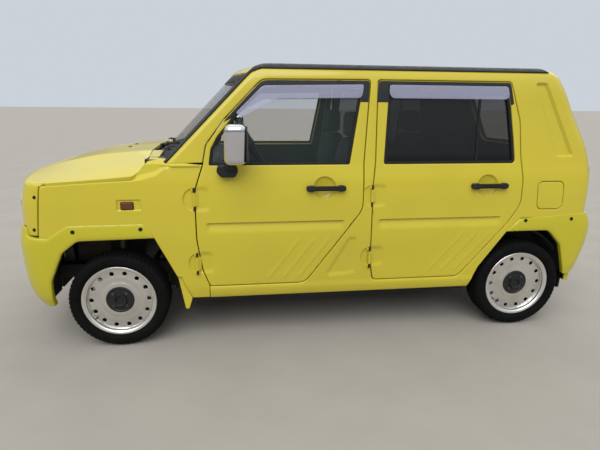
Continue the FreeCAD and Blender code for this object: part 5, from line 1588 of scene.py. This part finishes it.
def tyre():
    half = tyre_profile()
    rows = half + [(r, -y, cut) for r, y, cut in reversed(half)]
    count = TREAD_BLOCKS * TREAD_STEPS
    turn = np.arange(count) * 2 * math.pi / count
    slot = np.where(np.arange(count) % TREAD_STEPS == 0, 1.0, 0.0)
    points = []
    for r, y, cut in rows:
        shift = 2 * math.pi / TREAD_BLOCKS * 0.5 * (y / 60.0)
        radius = r - GROOVE_DEPTH * 0.8 * cut * slot
        points.append(np.stack([radius * np.cos(turn + shift), np.full(count, y + TRACK_HALF),
                                radius * np.sin(turn + shift) + AXLE_Z], axis=1))
    points = np.concatenate(points)
    faces = ring_faces(len(rows), count, len(rows))
    piece = mesh_object("tyre_skin", place(points), faces, [TYRE], 34.0)
    weld(piece)
    return piece


def wheel_disc():
    loops = [circle(DISC_R, 96), circle(DISC_INNER_R, 96)]
    for x, z in circle(HOLE_CIRCLE_R, HOLE_COUNT):
        loops.append(circle(HOLE_R, 24, x, z))
    creases = [closed(circle(r, 96)) for r in (96.0, 104.0, 132.0, 138.0)]
    uv, faces = patch(loops, 7.0, creases)
    r = np.hypot(uv[:, 0], uv[:, 1])
    rise = 3.0 * smoothstep((104.0 - r) / 8.0) - 1.5 * smoothstep((r - 132.0) / 6.0)
    outer = np.stack([uv[:, 0], TRACK_HALF + DISC_Y + rise, uv[:, 1] + AXLE_Z], axis=1)
    inner = outer.copy()
    inner[:, 1] = TRACK_HALF + DISC_Y - 8.0
    return sheet_solid("wheel_disc", outer, inner, faces, [MACHINED], edge=1.2)


def wheel_spot(radius, degrees, out):
    """Point on the wheel's disc, out from its face."""
    angle = math.radians(degrees)
    return (radius * math.cos(angle), TRACK_HALF + DISC_Y + out,
            radius * math.sin(angle) + AXLE_Z)


def wheel():
    centre = (0.0, TRACK_HALF, AXLE_Z)
    # Columns: radius, distance from the wheel's middle plane.
    rim = [(173.5, 34.0), (173.5, 45.0), (176.0, 50.0), (180.5, 57.0), (184.0, 63.0), (189.0, 66.0),
           (194.0, 67.9), (199.0, 68.4), (201.0, 67.0), (201.0, 64.2), (195.0, 63.0),
           (178.2, 60.0), (177.8, 56.0), (177.8, -56.0), (178.2, -60.0), (192.0, -63.0),
           (195.0, -64.2), (195.0, -66.6), (192.0, -67.8), (184.0, -66.0), (173.0, -56.0),
           (170.5, -40.0), (170.0, 30.0)]
    barrel = spun("barrel", rim, centre, "y", [POLISHED, DARK_METAL], count=96,
                  slots=[0] * 11 + [1] * 12)
    cap = [(AXIS, DISC_Y + 8.0), (22.0, DISC_Y + 8.0), (26.0, DISC_Y + 18.0),
           (29.0, DISC_Y + 20.0), (34.0, DISC_Y + 20.0), (38.0, DISC_Y + 6.0),
           (62.0, DISC_Y + 5.0), (67.0, DISC_Y + 8.5), (73.0, DISC_Y + 8.0),
           (CAP_R, DISC_Y - 1.0), (CAP_R - 2.0, DISC_Y - 5.0), (AXIS, DISC_Y - 5.0)]
    hub_cap = spun("cap", cap, centre, "y", [BLACK], count=64, angle=28.0)
    drum = [(12.0, -46.0), (DRUM_R, -46.0), (DRUM_R, -24.0), (DRUM_R - 6.0, -20.0), (44.0, -18.0),
            (44.0, DISC_Y - 6.0), (12.0, DISC_Y - 6.0)]
    hub = spun("drum", drum, centre, "y", [CAST], count=48, angle=30.0)
    pieces = [barrel, wheel_disc(), hub_cap, hub]
    for i in range(4):
        pieces.append(bolt(wheel_spot(NUT_CIRCLE_R, 45.0 + 90.0 * i, 5.5), "y", 9.0, 9.0, CAST))
    valve_at = wheel_spot(166.0, -38.0, 0.0)
    pieces.append(spun("valve", [(AXIS, -2.0), (4.5, -2.0), (3.2, 8.0), (2.6, 14.0), (3.0, 17.0),
                                 (3.0, 21.0), (AXIS, 21.0)], valve_at, "y", [BLACK], count=12))
    return blended(pieces, "wheel_skin")


def make_wheels():
    for form, kind in ((tyre(), "tyre"), (wheel(), "rim")):
        for end, dx in (("front", 0.0), ("rear", REAR_X)):
            left = moved(form, kind + "_skin_" + end + "_left",
                         Matrix.Translation((dx * MM, 0, 0)))
            mirrored_pair(left, "wheel_" + end + "_left", kind + "_" + end + "_left")
        bpy.data.objects.remove(form)


make_wheels()

# Hinges of the four doors: the door's barrel between the body's two knuckles
HINGE_R = 6.5
KNUCKLE = 18.0
KNUCKLE_GAP = 6.0
PIN_R = 3.0
PIN_REACH = 5.6
# Columns: door, x of the axis, foot and top of the barrel.
DOOR_HINGES = [
    ("front_door", FRONT_AXIS_X, 800.0, 873.0),
    ("front_door", FRONT_AXIS_X, 437.0, 512.0),
    ("rear_door", REAR_AXIS_X, 805.0, 875.0),
    ("rear_door", REAR_AXIS_X, 440.0, 515.0),
]


def wall_y(z):
    return float(body_half(z))


def knuckle(name, centre, axis, low, high, radius, bevel, material):
    """Short round bar along an axis, its ends bevelled."""
    return spun(name, [(AXIS, low), (radius - bevel, low), (radius, low + bevel),
                       (radius, high - bevel), (radius - bevel, high), (AXIS, high)],
                centre, axis, [material], count=24)


def leaf(axis_x, reach, low, high):
    """Plate from the barrel down to the pad in the panel."""
    y = wall_y((low + high) / 2) - PAD_DEPTH
    return slab("leaf", [(axis_x, y - 6.0, 1.0), (axis_x + reach, y - 6.0, 1.0),
                         (axis_x + reach, y + 1.5, 3.0), (axis_x + reach * 0.3, HINGE_Y + 2.0, 4.0),
                         (axis_x, HINGE_Y + 4.0, 2.0)], "xy", low, high, [PAINT], step=5.0,
                edge=0.8)


def make_hinges():
    for index, (door, axis_x, low, high) in enumerate(DOOR_HINGES):
        centre = (axis_x, HINGE_Y, 0.0)
        pin = spun("pin", [(AXIS, low - PIN_REACH), (PIN_R, low - PIN_REACH),
                           (PIN_R, high + PIN_REACH), (AXIS, high + PIN_REACH)],
                   centre, "z", [CAST], count=16)
        name = door + "_hinge_" + str(index) + "_left"
        barrel = knuckle("barrel", centre, "z", low, high, HINGE_R, 1.0, PAINT)
        door_leaf = leaf(axis_x, -22.0, low + 1.0, high - 1.0)
        mirrored_pair(blended([barrel, pin, door_leaf], name), door + "_left")
        ends = []
        for z in (low - KNUCKLE_GAP - KNUCKLE, high + KNUCKLE_GAP):
            ends += [knuckle("end", centre, "z", z, z + KNUCKLE, HINGE_R, 1.0, BLACK),
                     leaf(axis_x, 18.0, z + 1.0, z + KNUCKLE - 1.0)]
        mirrored_pair(blended(ends, "pillar_" + name), "body")


make_hinges()

# Handles and mirrors
HANDLE_HALF = 112.0


def handle(end):
    x, z = HANDLES[end]
    y = wall_y(z)
    swell = [(-HANDLE_HALF, 0.0), (-HANDLE_HALF + 2.0, 15.0), (-HANDLE_HALF + 34.0, 18.0),
             (-HANDLE_HALF + 52.0, 13.0), (HANDLE_HALF - 52.0, 13.0), (HANDLE_HALF - 34.0, 18.0),
             (HANDLE_HALF - 2.0, 15.0), (HANDLE_HALF, 0.0)]
    upper = [(x + a, z + b, 14.0) for a, b in swell[1:-1]]
    lower = [(x + a, z - b, 14.0) for a, b in reversed(swell[1:-1])]
    bar = slab("bar", upper + lower, "xz", y + 11.0, y + 27.5, [BLACK], step=6.0, edge=6.5)
    feet = [slab("foot", rectangle(x + s * (HANDLE_HALF - 4.0), x + s * (HANDLE_HALF - 38.0),
                                   z - 14.0, z + 14.0, 8.0),
                 "xz", y - 4.0, y + 14.0, [BLACK], step=6.0, edge=2.0) for s in (-1.0, 1.0)]
    piece = blended([bar] + feet, end + "_bar_handle_left")
    extra = ["rear_handle_left"] if end == "rear" else []
    mirrored_pair(piece, end + "_door_left", *extra)


MIRROR_X = -660.0
MIRROR_Y = 820.0


def door_mirror():
    def taper(x, y, z):
        narrow = 0.9 if z < 1100.0 else 1.0
        return (x - 0.03 * (z - 1130.0), MIRROR_Y + (y - MIRROR_Y) * narrow, z)

    shell = rounded_block("shell", (MIRROR_X - 56.0, 763.0, 1031.0),
                          (MIRROR_X + 58.0, 877.0, 1234.0), 38.0, CHROME, segments=9, taper=taper)
    frame_piece = slab("frame", [(770.0, 1042.0, 18.0), (770.0, 1222.0, 22.0),
                                 (869.0, 1222.0, 22.0), (869.0, 1042.0, 18.0)], "yz",
                       MIRROR_X - 50.0, MIRROR_X - 60.0, [BLACK], step=8.0, edge=2.5)
    mirror_glass = slab("glass", [(777.0, 1050.0, 14.0), (777.0, 1214.0, 17.0),
                                  (862.0, 1214.0, 17.0), (862.0, 1050.0, 14.0)], "yz",
                        MIRROR_X - 58.0, MIRROR_X - 61.0, [CHROME], step=10.0, edge=0.8)
    foot_y = wall_y(985.0)
    foot = slab("foot", [(MIRROR_X + 104.0, 985.0, 25.0), (MIRROR_X + 78.0, 957.0, 20.0),
                         (MIRROR_X + 6.0, 957.0, 20.0), (MIRROR_X - 10.0, 990.0, 20.0),
                         (MIRROR_X + 2.0, 1020.0, 20.0), (MIRROR_X + 98.0, 1020.0, 20.0)],
                "xz", foot_y - 12.0, 766.0, [BLACK], step=8.0, edge=7.0)
    arm = rounded_block("arm", (MIRROR_X + 8.0, 740.0, 1000.0), (MIRROR_X + 56.0, 806.0, 1044.0),
                        14.0, BLACK)
    piece = blended([shell, frame_piece, mirror_glass, foot, arm], "door_mirror_left")
    mirrored_pair(piece, "front_door_left", "front_fittings_left")


handle("front")
handle("rear")
door_mirror()


# Lamps

def head_lamp():
    centre = (0.0, LAMP_Y, LAMP_Z)
    bezel = spun("bezel", [(87.5, 420.0), (87.5, 474.0), (86.0, 481.0), (82.0, 483.0),
                           (77.0, 480.0), (74.5, 473.0), (76.0, 420.0)], centre, "x", [CHROME],
                 count=72)
    bowl = spun("bowl", [(76.0, 473.0)] + [(r, 421.5 + 51.0 * (r / 76.0) ** 2)
                                           for r in np.linspace(70.0, 6.0, 12)]
                + [(AXIS, 421.0), (AXIS, 419.0), (76.0, 419.0)], centre, "x", [CHROME], count=64)
    bulb = spun("bulb", [(AXIS, 454.0), (5.0, 452.0), (7.5, 448.0), (7.5, 430.0), (12.0, 428.0),
                         (12.0, 420.0), (AXIS, 420.0)], centre, "x", [LENS], count=24)
    cap = spun("cap", [(AXIS, 469.0), (9.0, 467.0), (12.0, 462.0), (12.0, 455.0), (10.0, 455.0),
                       (10.0, 460.0), (AXIS, 464.0)], centre, "x", [CHROME], count=24)
    lens_rows = [(r, 480.0 - 7.0 * (r / 78.0) ** 2) for r in np.linspace(0.01, 77.0, 14)]
    inner_rows = [(r, a - 3.0) for r, a in reversed(lens_rows)]
    lens = spun("head_lamp_lens_left", lens_rows + inner_rows, centre, "x", [LENS], count=64)
    mirrored_pair(blended([bezel, bowl, bulb, cap], "head_lamp_left"), "body", "head_lamps")
    mirrored_pair(lens, "body")


def tail_lamp():
    back = wall_panel("tail_lamp_back_left", BODY, [BODY.on_end(rounded(TAIL_LAMP, 8.0), -1)],
                      step=16.0, thick=18.0, materials=[BLACK], set_in=4.0, edge=1.0)
    mirrored_pair(back, "body")
    # Columns: low z, high z, material, name.
    rows = [(856.0, 983.0, RED_LENS, "tail_lens"), (812.0, 852.0, AMBER_LENS, "turn_lens"),
            (766.0, 808.0, LENS, "reverse_lens")]
    relief = Relief()
    relief.parts.append(lambda x, z: 0.8 * np.cos(z * 2 * math.pi / 9.0))
    for low, high, material, name in rows:
        corners = rectangle(617.0, 685.0, low, high, 8.0, 10.0)
        loop = BODY.on_end(rounded(corners, 5.0), -1)
        lens = wall_panel(name + "_left", BODY, [loop], step=3.2, thick=5.0, materials=[material],
                          relief=relief, set_in=-1.8, edge=1.6)
        mirrored_pair(lens, "body", "tail_lamps")


def side_lamp():
    x, z = SIDE_LAMP[0] + 2.0, SIDE_LAMP[1] - 2.0
    y = wall_y(z) - 5.0
    rim = slab("rim", rectangle(x - 34.0, x + 34.0, z - 21.0, z + 21.0, 8.0), "xz",
               y - 6.0, y + 1.0, [RUBBER], step=5.0, edge=1.2)
    lens = slab("lens", rectangle(x - 31.0, x + 31.0, z - 18.0, z + 18.0, 7.0), "xz",
                y - 1.0, y + 6.0, [BROWN_LENS], step=5.0, edge=4.0)
    mirrored_pair(blended([rim, lens], "side_lamp_left"), "body")


head_lamp()
tail_lamp()
side_lamp()


# Bolts of the flares and the front panel. Columns: x, z, wall, radius.
TRIM_BOLTS = [
    (194.0, 676.0, BELT, 8.0), (-148.0, 682.0, BELT, 8.0), (361.0, 861.0, NOSE, 7.0),
    (384.0, 690.0, NOSE, 7.0), (-2350.0, 677.0, BELT, 8.0), (-2645.0, 680.0, BELT, 8.0),
]


def trim_bolts():
    for index, (x, z, wall, radius) in enumerate(TRIM_BOLTS):
        at = wall.point(x, z)
        head = bolt((float(at[0]), float(at[1]) + 0.5, z), "y", radius, 4.0, RUBBER, 24)
        mirrored_pair(blended([head], "trim_bolt_" + str(index) + "_left"), "body")


trim_bolts()


# Mud flaps: the front ones in body colour, the rear ones black with a coloured edge

def mud_flaps():
    front = slab("front_mud_flap_left", [(-322.0, 395.0, 3.0), (-345.0, 393.0, 3.0),
                                         (-360.0, 345.0, 20.0), (-395.0, 262.0, 8.0),
                                         (-375.0, 199.0, 5.0), (-355.0, 199.0, 5.0),
                                         (-345.0, 260.0, 20.0)], "xz", 616.0, 704.0,
                 [PAINT], step=8.0, edge=3.0)
    mirrored_pair(front, "body", "mud_flaps")
    x = REAR_X - 350.0
    rear = slab("rear", [(562.0, 192.0, 10.0), (562.0, 418.0, 6.0), (664.0, 418.0, 6.0),
                         (668.0, 316.0, 6.0), (684.0, 316.0, 2.0), (680.0, 264.0, 10.0),
                         (638.0, 262.0, 6.0), (634.0, 192.0, 10.0)], "yz", x - 5.0, x + 5.0,
                [RUBBER], step=9.0, edge=1.6)
    edge = slab("edge", [(680.0, 268.0, 3.0), (684.0, 318.0, 2.0), (692.0, 318.0, 2.0),
                         (689.0, 268.0, 3.0)], "yz", x - 14.0, x + 14.0, [BELT_PAINT], step=9.0,
                edge=1.6)
    mirrored_pair(blended([rear, edge], "rear_mud_flap_left"), "body", "mud_flaps")


mud_flaps()


# Blank number plates, each held by two bolts
FRONT_PLATE_TOP = 606.0
PLATE_BOLT_Y = 105.0
PLATE_BOLT_DROP = 20.0


def number_plate(name, body, top, face_x, way):
    """Plate whose face looks along way (1 forward, -1 rearward)."""
    def form(margin, radius):
        return rectangle(-PLATE_HALF + margin, PLATE_HALF - margin,
                         top - PLATE_HEIGHT + margin, top - margin, radius)

    plate = slab("plate", form(3.0, 9.0), "yz", face_x - way * 2.0, face_x, [PLATE], step=14.0,
                 edge=0.8)
    border = slab("border", form(5.0, 8.0), "yz", face_x - way * 0.5, face_x + way, [PLATE],
                  step=10.0, edge=0.4, holes=[form(10.0, 6.0)])
    bolts = [bolt((face_x, y, top - PLATE_BOLT_DROP), "x", 6.0, 4.0 * way, CAST)
             for y in (-PLATE_BOLT_Y, PLATE_BOLT_Y)]
    add_piece(blended([plate, border] + bolts, name), body)


number_plate("front_plate", "body", FRONT_PLATE_TOP, NOSE_X - 6.5, 1.0)
number_plate("rear_plate", "tailgate", PLATE_TOP, TAIL_X + 45.0, -1.0)


# Wipers and the washer jets

def screen_spot(y, z, off):
    """Point in front of the windscreen, off its outer surface."""
    u = BODY.u_at(y, z, 1)
    at = BODY.point(u, z)
    lean = math.hypot(SCREEN_RUN, 1.0)
    return np.array([float(at[0]) + off / lean, y, z + off * SCREEN_RUN / lean])


BLADE_POINTS = 12
ARM_POINTS = 9
BLADE_HALF = 4.0


def wiper(name, pivot_y, tip_y, low_z, tip_z):
    """Arm and blade on the windscreen; the arm ends about three quarters along the way."""
    pivot = screen_spot(pivot_y, low_z, 20.0)
    arm_line, blade_line = [], []
    for t in np.linspace(0.0, 1.0, BLADE_POINTS):
        y = pivot_y + (tip_y - pivot_y) * t
        z = low_z + (tip_z - low_z) * t
        arm_line.append(screen_spot(y, z, 20.0 + 7.0 * math.sin(math.pi * min(t * 1.2, 1.0))))
        along = 0.24 + 0.94 * t
        blade_y = pivot_y + (tip_y - pivot_y) * along
        blade_z = low_z + 10.0 + (tip_z - low_z) * along
        blade_line.append(screen_spot(blade_y, blade_z, 8.0 + 3.0 * math.sin(math.pi * t)))
    arm = tube("arm", arm_line[:ARM_POINTS], np.linspace(8.0, 4.0, ARM_POINTS), BLACK, flat=0.55)
    blade = tube("blade", blade_line, [BLADE_HALF] * BLADE_POINTS, RUBBER, sides=10, flat=1.6)
    cap = spun("cap", [(AXIS, pivot[2] + 12.0), (9.0, pivot[2] + 10.0), (12.0, pivot[2] + 2.0),
                       (12.0, pivot[2] - 20.0), (AXIS, pivot[2] - 20.0)],
               (pivot[0] + 2.0, pivot_y, 0.0), "z", [BLACK], count=24)
    add_piece(blended([arm, blade, cap], name), "body", "wipers")


wiper("wiper_left", 185.0, 560.0, 1062.0, 1104.0)
wiper("wiper_right", -300.0, 120.0, 1060.0, 1094.0)


def jets():
    for side, y in (("left", 78.0), ("right", -120.0)):
        z = float(bonnet_height(np.array([13.0]), np.array([y]))[0])
        jet = rounded_block("washer_jet_" + side, (2.0, y - 9.0, z - 3.0),
                            (22.0, y + 7.0, z + 4.0), 2.5, BLACK, segments=3)
        add_piece(jet, "bonnet")


jets()


def tail_spot(y, z, off):
    """Point off the body's rear surface, forward where off is above 0."""
    u = float(BODY.u_at(abs(y), z, -1))
    return (float(BODY.point(u, z)[0]) + off, y, z)


def rear_wiper():
    y, z = 30.0, 1040.0
    x = tail_spot(0.0, z, 0.0)[0]
    cap = spun("cap", [(AXIS, x - 20.0), (13.0, x - 18.0), (16.0, x - 12.0), (16.0, x + 2.0),
                       (AXIS, x + 2.0)], (0.0, y, z), "x", [BLACK], count=24)
    steps = np.linspace(0.0, 1.0, 10)
    line = [tail_spot(y + 330.0 * t, z + 46.0 * t, 14.0 * smoothstep(t * 1.4 - 0.4) - 12.0)
            for t in steps]
    arm = tube("arm", line, np.linspace(8.0, 4.0, len(steps)), BLACK, flat=0.6)
    blade_line = [tail_spot(120.0 + 300.0 * t, z + 30.0 + 30.0 * t, 10.0) for t in steps]
    blade = tube("blade", blade_line, [BLADE_HALF] * len(steps), RUBBER, sides=10, flat=1.6)
    add_piece(blended([cap, arm, blade], "rear_wiper"), "tailgate")


rear_wiper()


# Liners of the wheel arches, just behind the edges of the openings
FRONT_LINER = [(352.0, 290.0, 0.0), (352.0, 400.0, 40.0), (332.0, 640.0, 60.0),
               (226.0, 716.0, 60.0), (-166.0, 718.0, 60.0), (-222.0, 642.0, 60.0),
               (-338.0, 396.0, 60.0), (-372.0, 330.0, 0.0)]
REAR_LINER = [(REAR_X + 330.0, 300.0, 0.0), (REAR_X + 282.0, 396.0, 60.0),
              (REAR_X + 126.0, 626.0, 60.0), (REAR_X - 158.0, 626.0, 60.0),
              (REAR_X - 252.0, 526.0, 60.0), (REAR_X - 314.0, 330.0, 0.0)]
LINER_T = 3.0


def arch_liner(name, corners, low_y, high_y):
    chain = rounded_chain(corners)
    ways = unit(np.gradient(chain, axis=0))
    across = np.stack([-ways[:, 1], ways[:, 0]], axis=1) * LINER_T
    loop = np.concatenate([chain, (chain + across)[::-1]])
    piece = slab(name + "_left", [(x, z, 0.0) for x, z in loop], "xz", low_y, high_y, [BLACK],
                 step=20.0, edge=0.5)
    mirrored_pair(piece, "body")


arch_liner("front_liner", FRONT_LINER, 560.0, 700.0)
arch_liner("rear_liner", REAR_LINER, 560.0, 704.0)

# Knuckles of the tailgate's hinges along the roof's rear edge
TAILGATE_AXIS = (-2539.0, 1508.0)
TAILGATE_KNUCKLE_R = 5.0


def tailgate_hinges():
    centre = (TAILGATE_AXIS[0], 0.0, TAILGATE_AXIS[1])
    # Columns: name, body, ends along y.
    rows = [("tailgate_knuckle", "tailgate", 380.0, 416.0), ("roof_knuckle", "body", 416.4, 452.4)]
    for name, body, low, high in rows:
        mirrored_pair(knuckle(name + "_left", centre, "y", low, high, TAILGATE_KNUCKLE_R, 0.6,
                              PAINT), body)


tailgate_hinges()

# Seats, with crowned cushions
SEAT_Y = 330.0
SEAT_BASE_Z = 251.0
PAD_POWER = 5.0


def pad(name, low, high, lean, channel=0.62):
    """Crowned cushion between two corners that leans back as it rises, with sewn channels."""
    form = bmesh.new()
    bmesh.ops.create_cube(form, size=2.0)
    bmesh.ops.subdivide_edges(form, edges=list(form.edges), cuts=17, use_grid_fill=True)
    mesh = mesh_from(form, name)
    cube = np.array([v.co[:] for v in mesh.vertices])
    size = np.sum(np.abs(cube) ** PAD_POWER, axis=1) ** (1 / PAD_POWER)
    shape = cube * (np.max(np.abs(cube), axis=1) / size)[:, None]
    low, high = np.array(low, float), np.array(high, float)
    points = (low + high) / 2 + shape * (high - low) / 2
    seam = 4.0 * np.exp(-((np.abs(cube[:, 1]) - channel) / 0.04) ** 2)
    thin = int(np.argmin(high - low))
    points[:, thin] -= np.sign(cube[:, thin]) * seam * (np.abs(cube[:, thin]) > 0.98)
    points[:, 0] -= lean * (points[:, 2] - low[2])
    piece = shaped(name, mesh, points, SEAT_CLOTH)
    return piece


def seat(name, node, y, half, at_x, cushion_front, heads):
    """Cushion, back, headrests and base; at_x is the back's middle at the cushion's height."""
    pieces = [
        pad(name + "_cushion", (at_x + 50.0, y - half, 494.0),
            (cushion_front, y + half, 612.0), 0.0),
        pad(name + "_back", (at_x - 62.0, y - half, 540.0), (at_x + 62.0, y + half, 1128.0), 0.13),
    ]
    for index, head_y in enumerate(heads):
        pieces.append(pad(name + "_head_" + str(index), (at_x - 118.0, head_y - 124.0, 1134.0),
                          (at_x - 26.0, head_y + 124.0, 1288.0), 0.0, 0.9))
    base = rounded_block("base", (at_x, y - half + 36.0, SEAT_BASE_Z),
                         (cushion_front - 50.0, y + half - 36.0, 512.0), 12.0, BLACK, segments=3)
    posts = [rounded_block("post", (at_x - 86.0, head_y + side * 40.0 - 6.0, 1090.0),
                           (at_x - 74.0, head_y + side * 40.0 + 6.0, 1160.0), 4.0, CHROME,
                           segments=3)
             for head_y in heads for side in (-1.0, 1.0)]
    pieces.append(blended([base] + posts, name + "_base"))
    for piece in pieces:
        add_piece(piece, "body", node)


for seat_name, seat_y in (("driver_seat", -SEAT_Y), ("passenger_seat", SEAT_Y)):
    seat(seat_name, "front_seats", seat_y, 235.0, -1312.0, -892.0, [seat_y])
seat("rear_bench", "rear_seat", 0.0, 568.0, -1916.0, -1552.0, [-310.0, 310.0])

# Finishes for the nodes that keep their own shape
NODE_LOOKS = [
    (CHASSIS, ["floor_pan", "bulkhead", "front_rails", "rear_floor", "front_frame",
               "strut_towers", "front_subframe", "rear_axle", "fuel_tank"]),
    (CAST, ["engine", "knuckle_left", "knuckle_right"]),
    (RADIATOR, ["radiator"]),
    (EXHAUST, ["exhaust"]),
    (BLACK, ["grille", "steering_wheel"]),
    (DARK_TRIM, ["dashboard"]),
]
for finish, nodes in NODE_LOOKS:
    for node in nodes:
        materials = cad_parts[node].data.materials
        materials.clear()
        materials.append(finish)

# Camera, at the photograph's place
CAMERA_AT = (0.4543, 3.1656, 1.3430)
CAMERA_YAW = math.radians(7.68968)
CAMERA_PITCH = math.radians(15.0359)
CAMERA_ROLL = math.radians(0.55414)
CAMERA_LENS = 27.5


def aim_camera():
    yaw, pitch, roll = CAMERA_YAW, CAMERA_PITCH, CAMERA_ROLL
    forward = Vector((-math.sin(yaw) * math.cos(pitch), -math.cos(yaw) * math.cos(pitch),
                      -math.sin(pitch)))
    right = Vector((-math.cos(yaw), math.sin(yaw), 0.0))
    up = right.cross(forward)
    across = right * math.cos(roll) + up * math.sin(roll)
    above = up * math.cos(roll) - right * math.sin(roll)
    data = bpy.data.cameras.new("camera")
    data.lens = CAMERA_LENS
    data.sensor_width = 36.0
    data.clip_end = 100.0
    camera = add_object("camera", data)
    turn = Matrix((across, above, -forward)).transposed().to_4x4()
    camera.matrix_world = Matrix.Translation(CAMERA_AT) @ turn
    bpy.context.scene.camera = camera


def add_floor():
    look = Look("studio_floor", colour(163, 158, 150), 0.9, specular=0.1)
    look.tint(look.noise(3.0, 4.0), colour(159, 154, 146))
    floor = mesh_object("floor", [(-90, -90, 0), (90, -90, 0), (90, 90, 0), (-90, 90, 0)],
                        [(0, 1, 2, 3)], [look.material])


# Suns. Columns: name, the way the light goes, strength, angular size in degrees.
SUNS = [
    ("key", (-0.25, -0.75, -0.90), 1.68, 50.0),
    ("far", (0.40, 0.80, -0.80), 0.65, 70.0),
]


def add_light():
    for name, way, strength, spread in SUNS:
        data = bpy.data.lights.new(name, "SUN")
        data.energy = strength
        data.angle = math.radians(spread)
        lamp = add_object(name, data)
        lamp.matrix_world = Vector(way).to_track_quat("-Z", "Y").to_matrix().to_4x4()
    world = bpy.data.worlds.new("studio")
    bpy.context.scene.world = world
    world.use_nodes = True
    tree = world.node_tree
    tree.nodes.clear()
    coords = tree.nodes.new("ShaderNodeTexCoord")
    split = tree.nodes.new("ShaderNodeSeparateXYZ")
    tree.links.new(coords.outputs["Generated"], split.inputs["Vector"])
    rise = add_node(tree, "ShaderNodeMapRange", {
        "From Min": 0.06, "From Max": 0.5, "To Min": 0.26, "To Max": 0.96})
    tree.links.new(split.outputs["Z"], rise.inputs["Value"])
    light = add_node(tree, "ShaderNodeBackground", {"Color": (0.93, 0.96, 1.0, 1.0)})
    tree.links.new(rise.outputs["Result"], light.inputs["Strength"])
    backdrop = add_node(tree, "ShaderNodeBackground", {"Color": (0.60, 0.64, 0.70, 1.0)})
    path = tree.nodes.new("ShaderNodeLightPath")
    mix = tree.nodes.new("ShaderNodeMixShader")
    tree.links.new(path.outputs["Is Camera Ray"], mix.inputs["Fac"])
    tree.links.new(light.outputs["Background"], mix.inputs[1])
    tree.links.new(backdrop.outputs["Background"], mix.inputs[2])
    output = tree.nodes.new("ShaderNodeOutputWorld")
    tree.links.new(mix.outputs["Shader"], output.inputs["Surface"])


aim_camera()
add_floor()
add_light()
bpy.context.scene.view_settings.view_transform = "Standard"
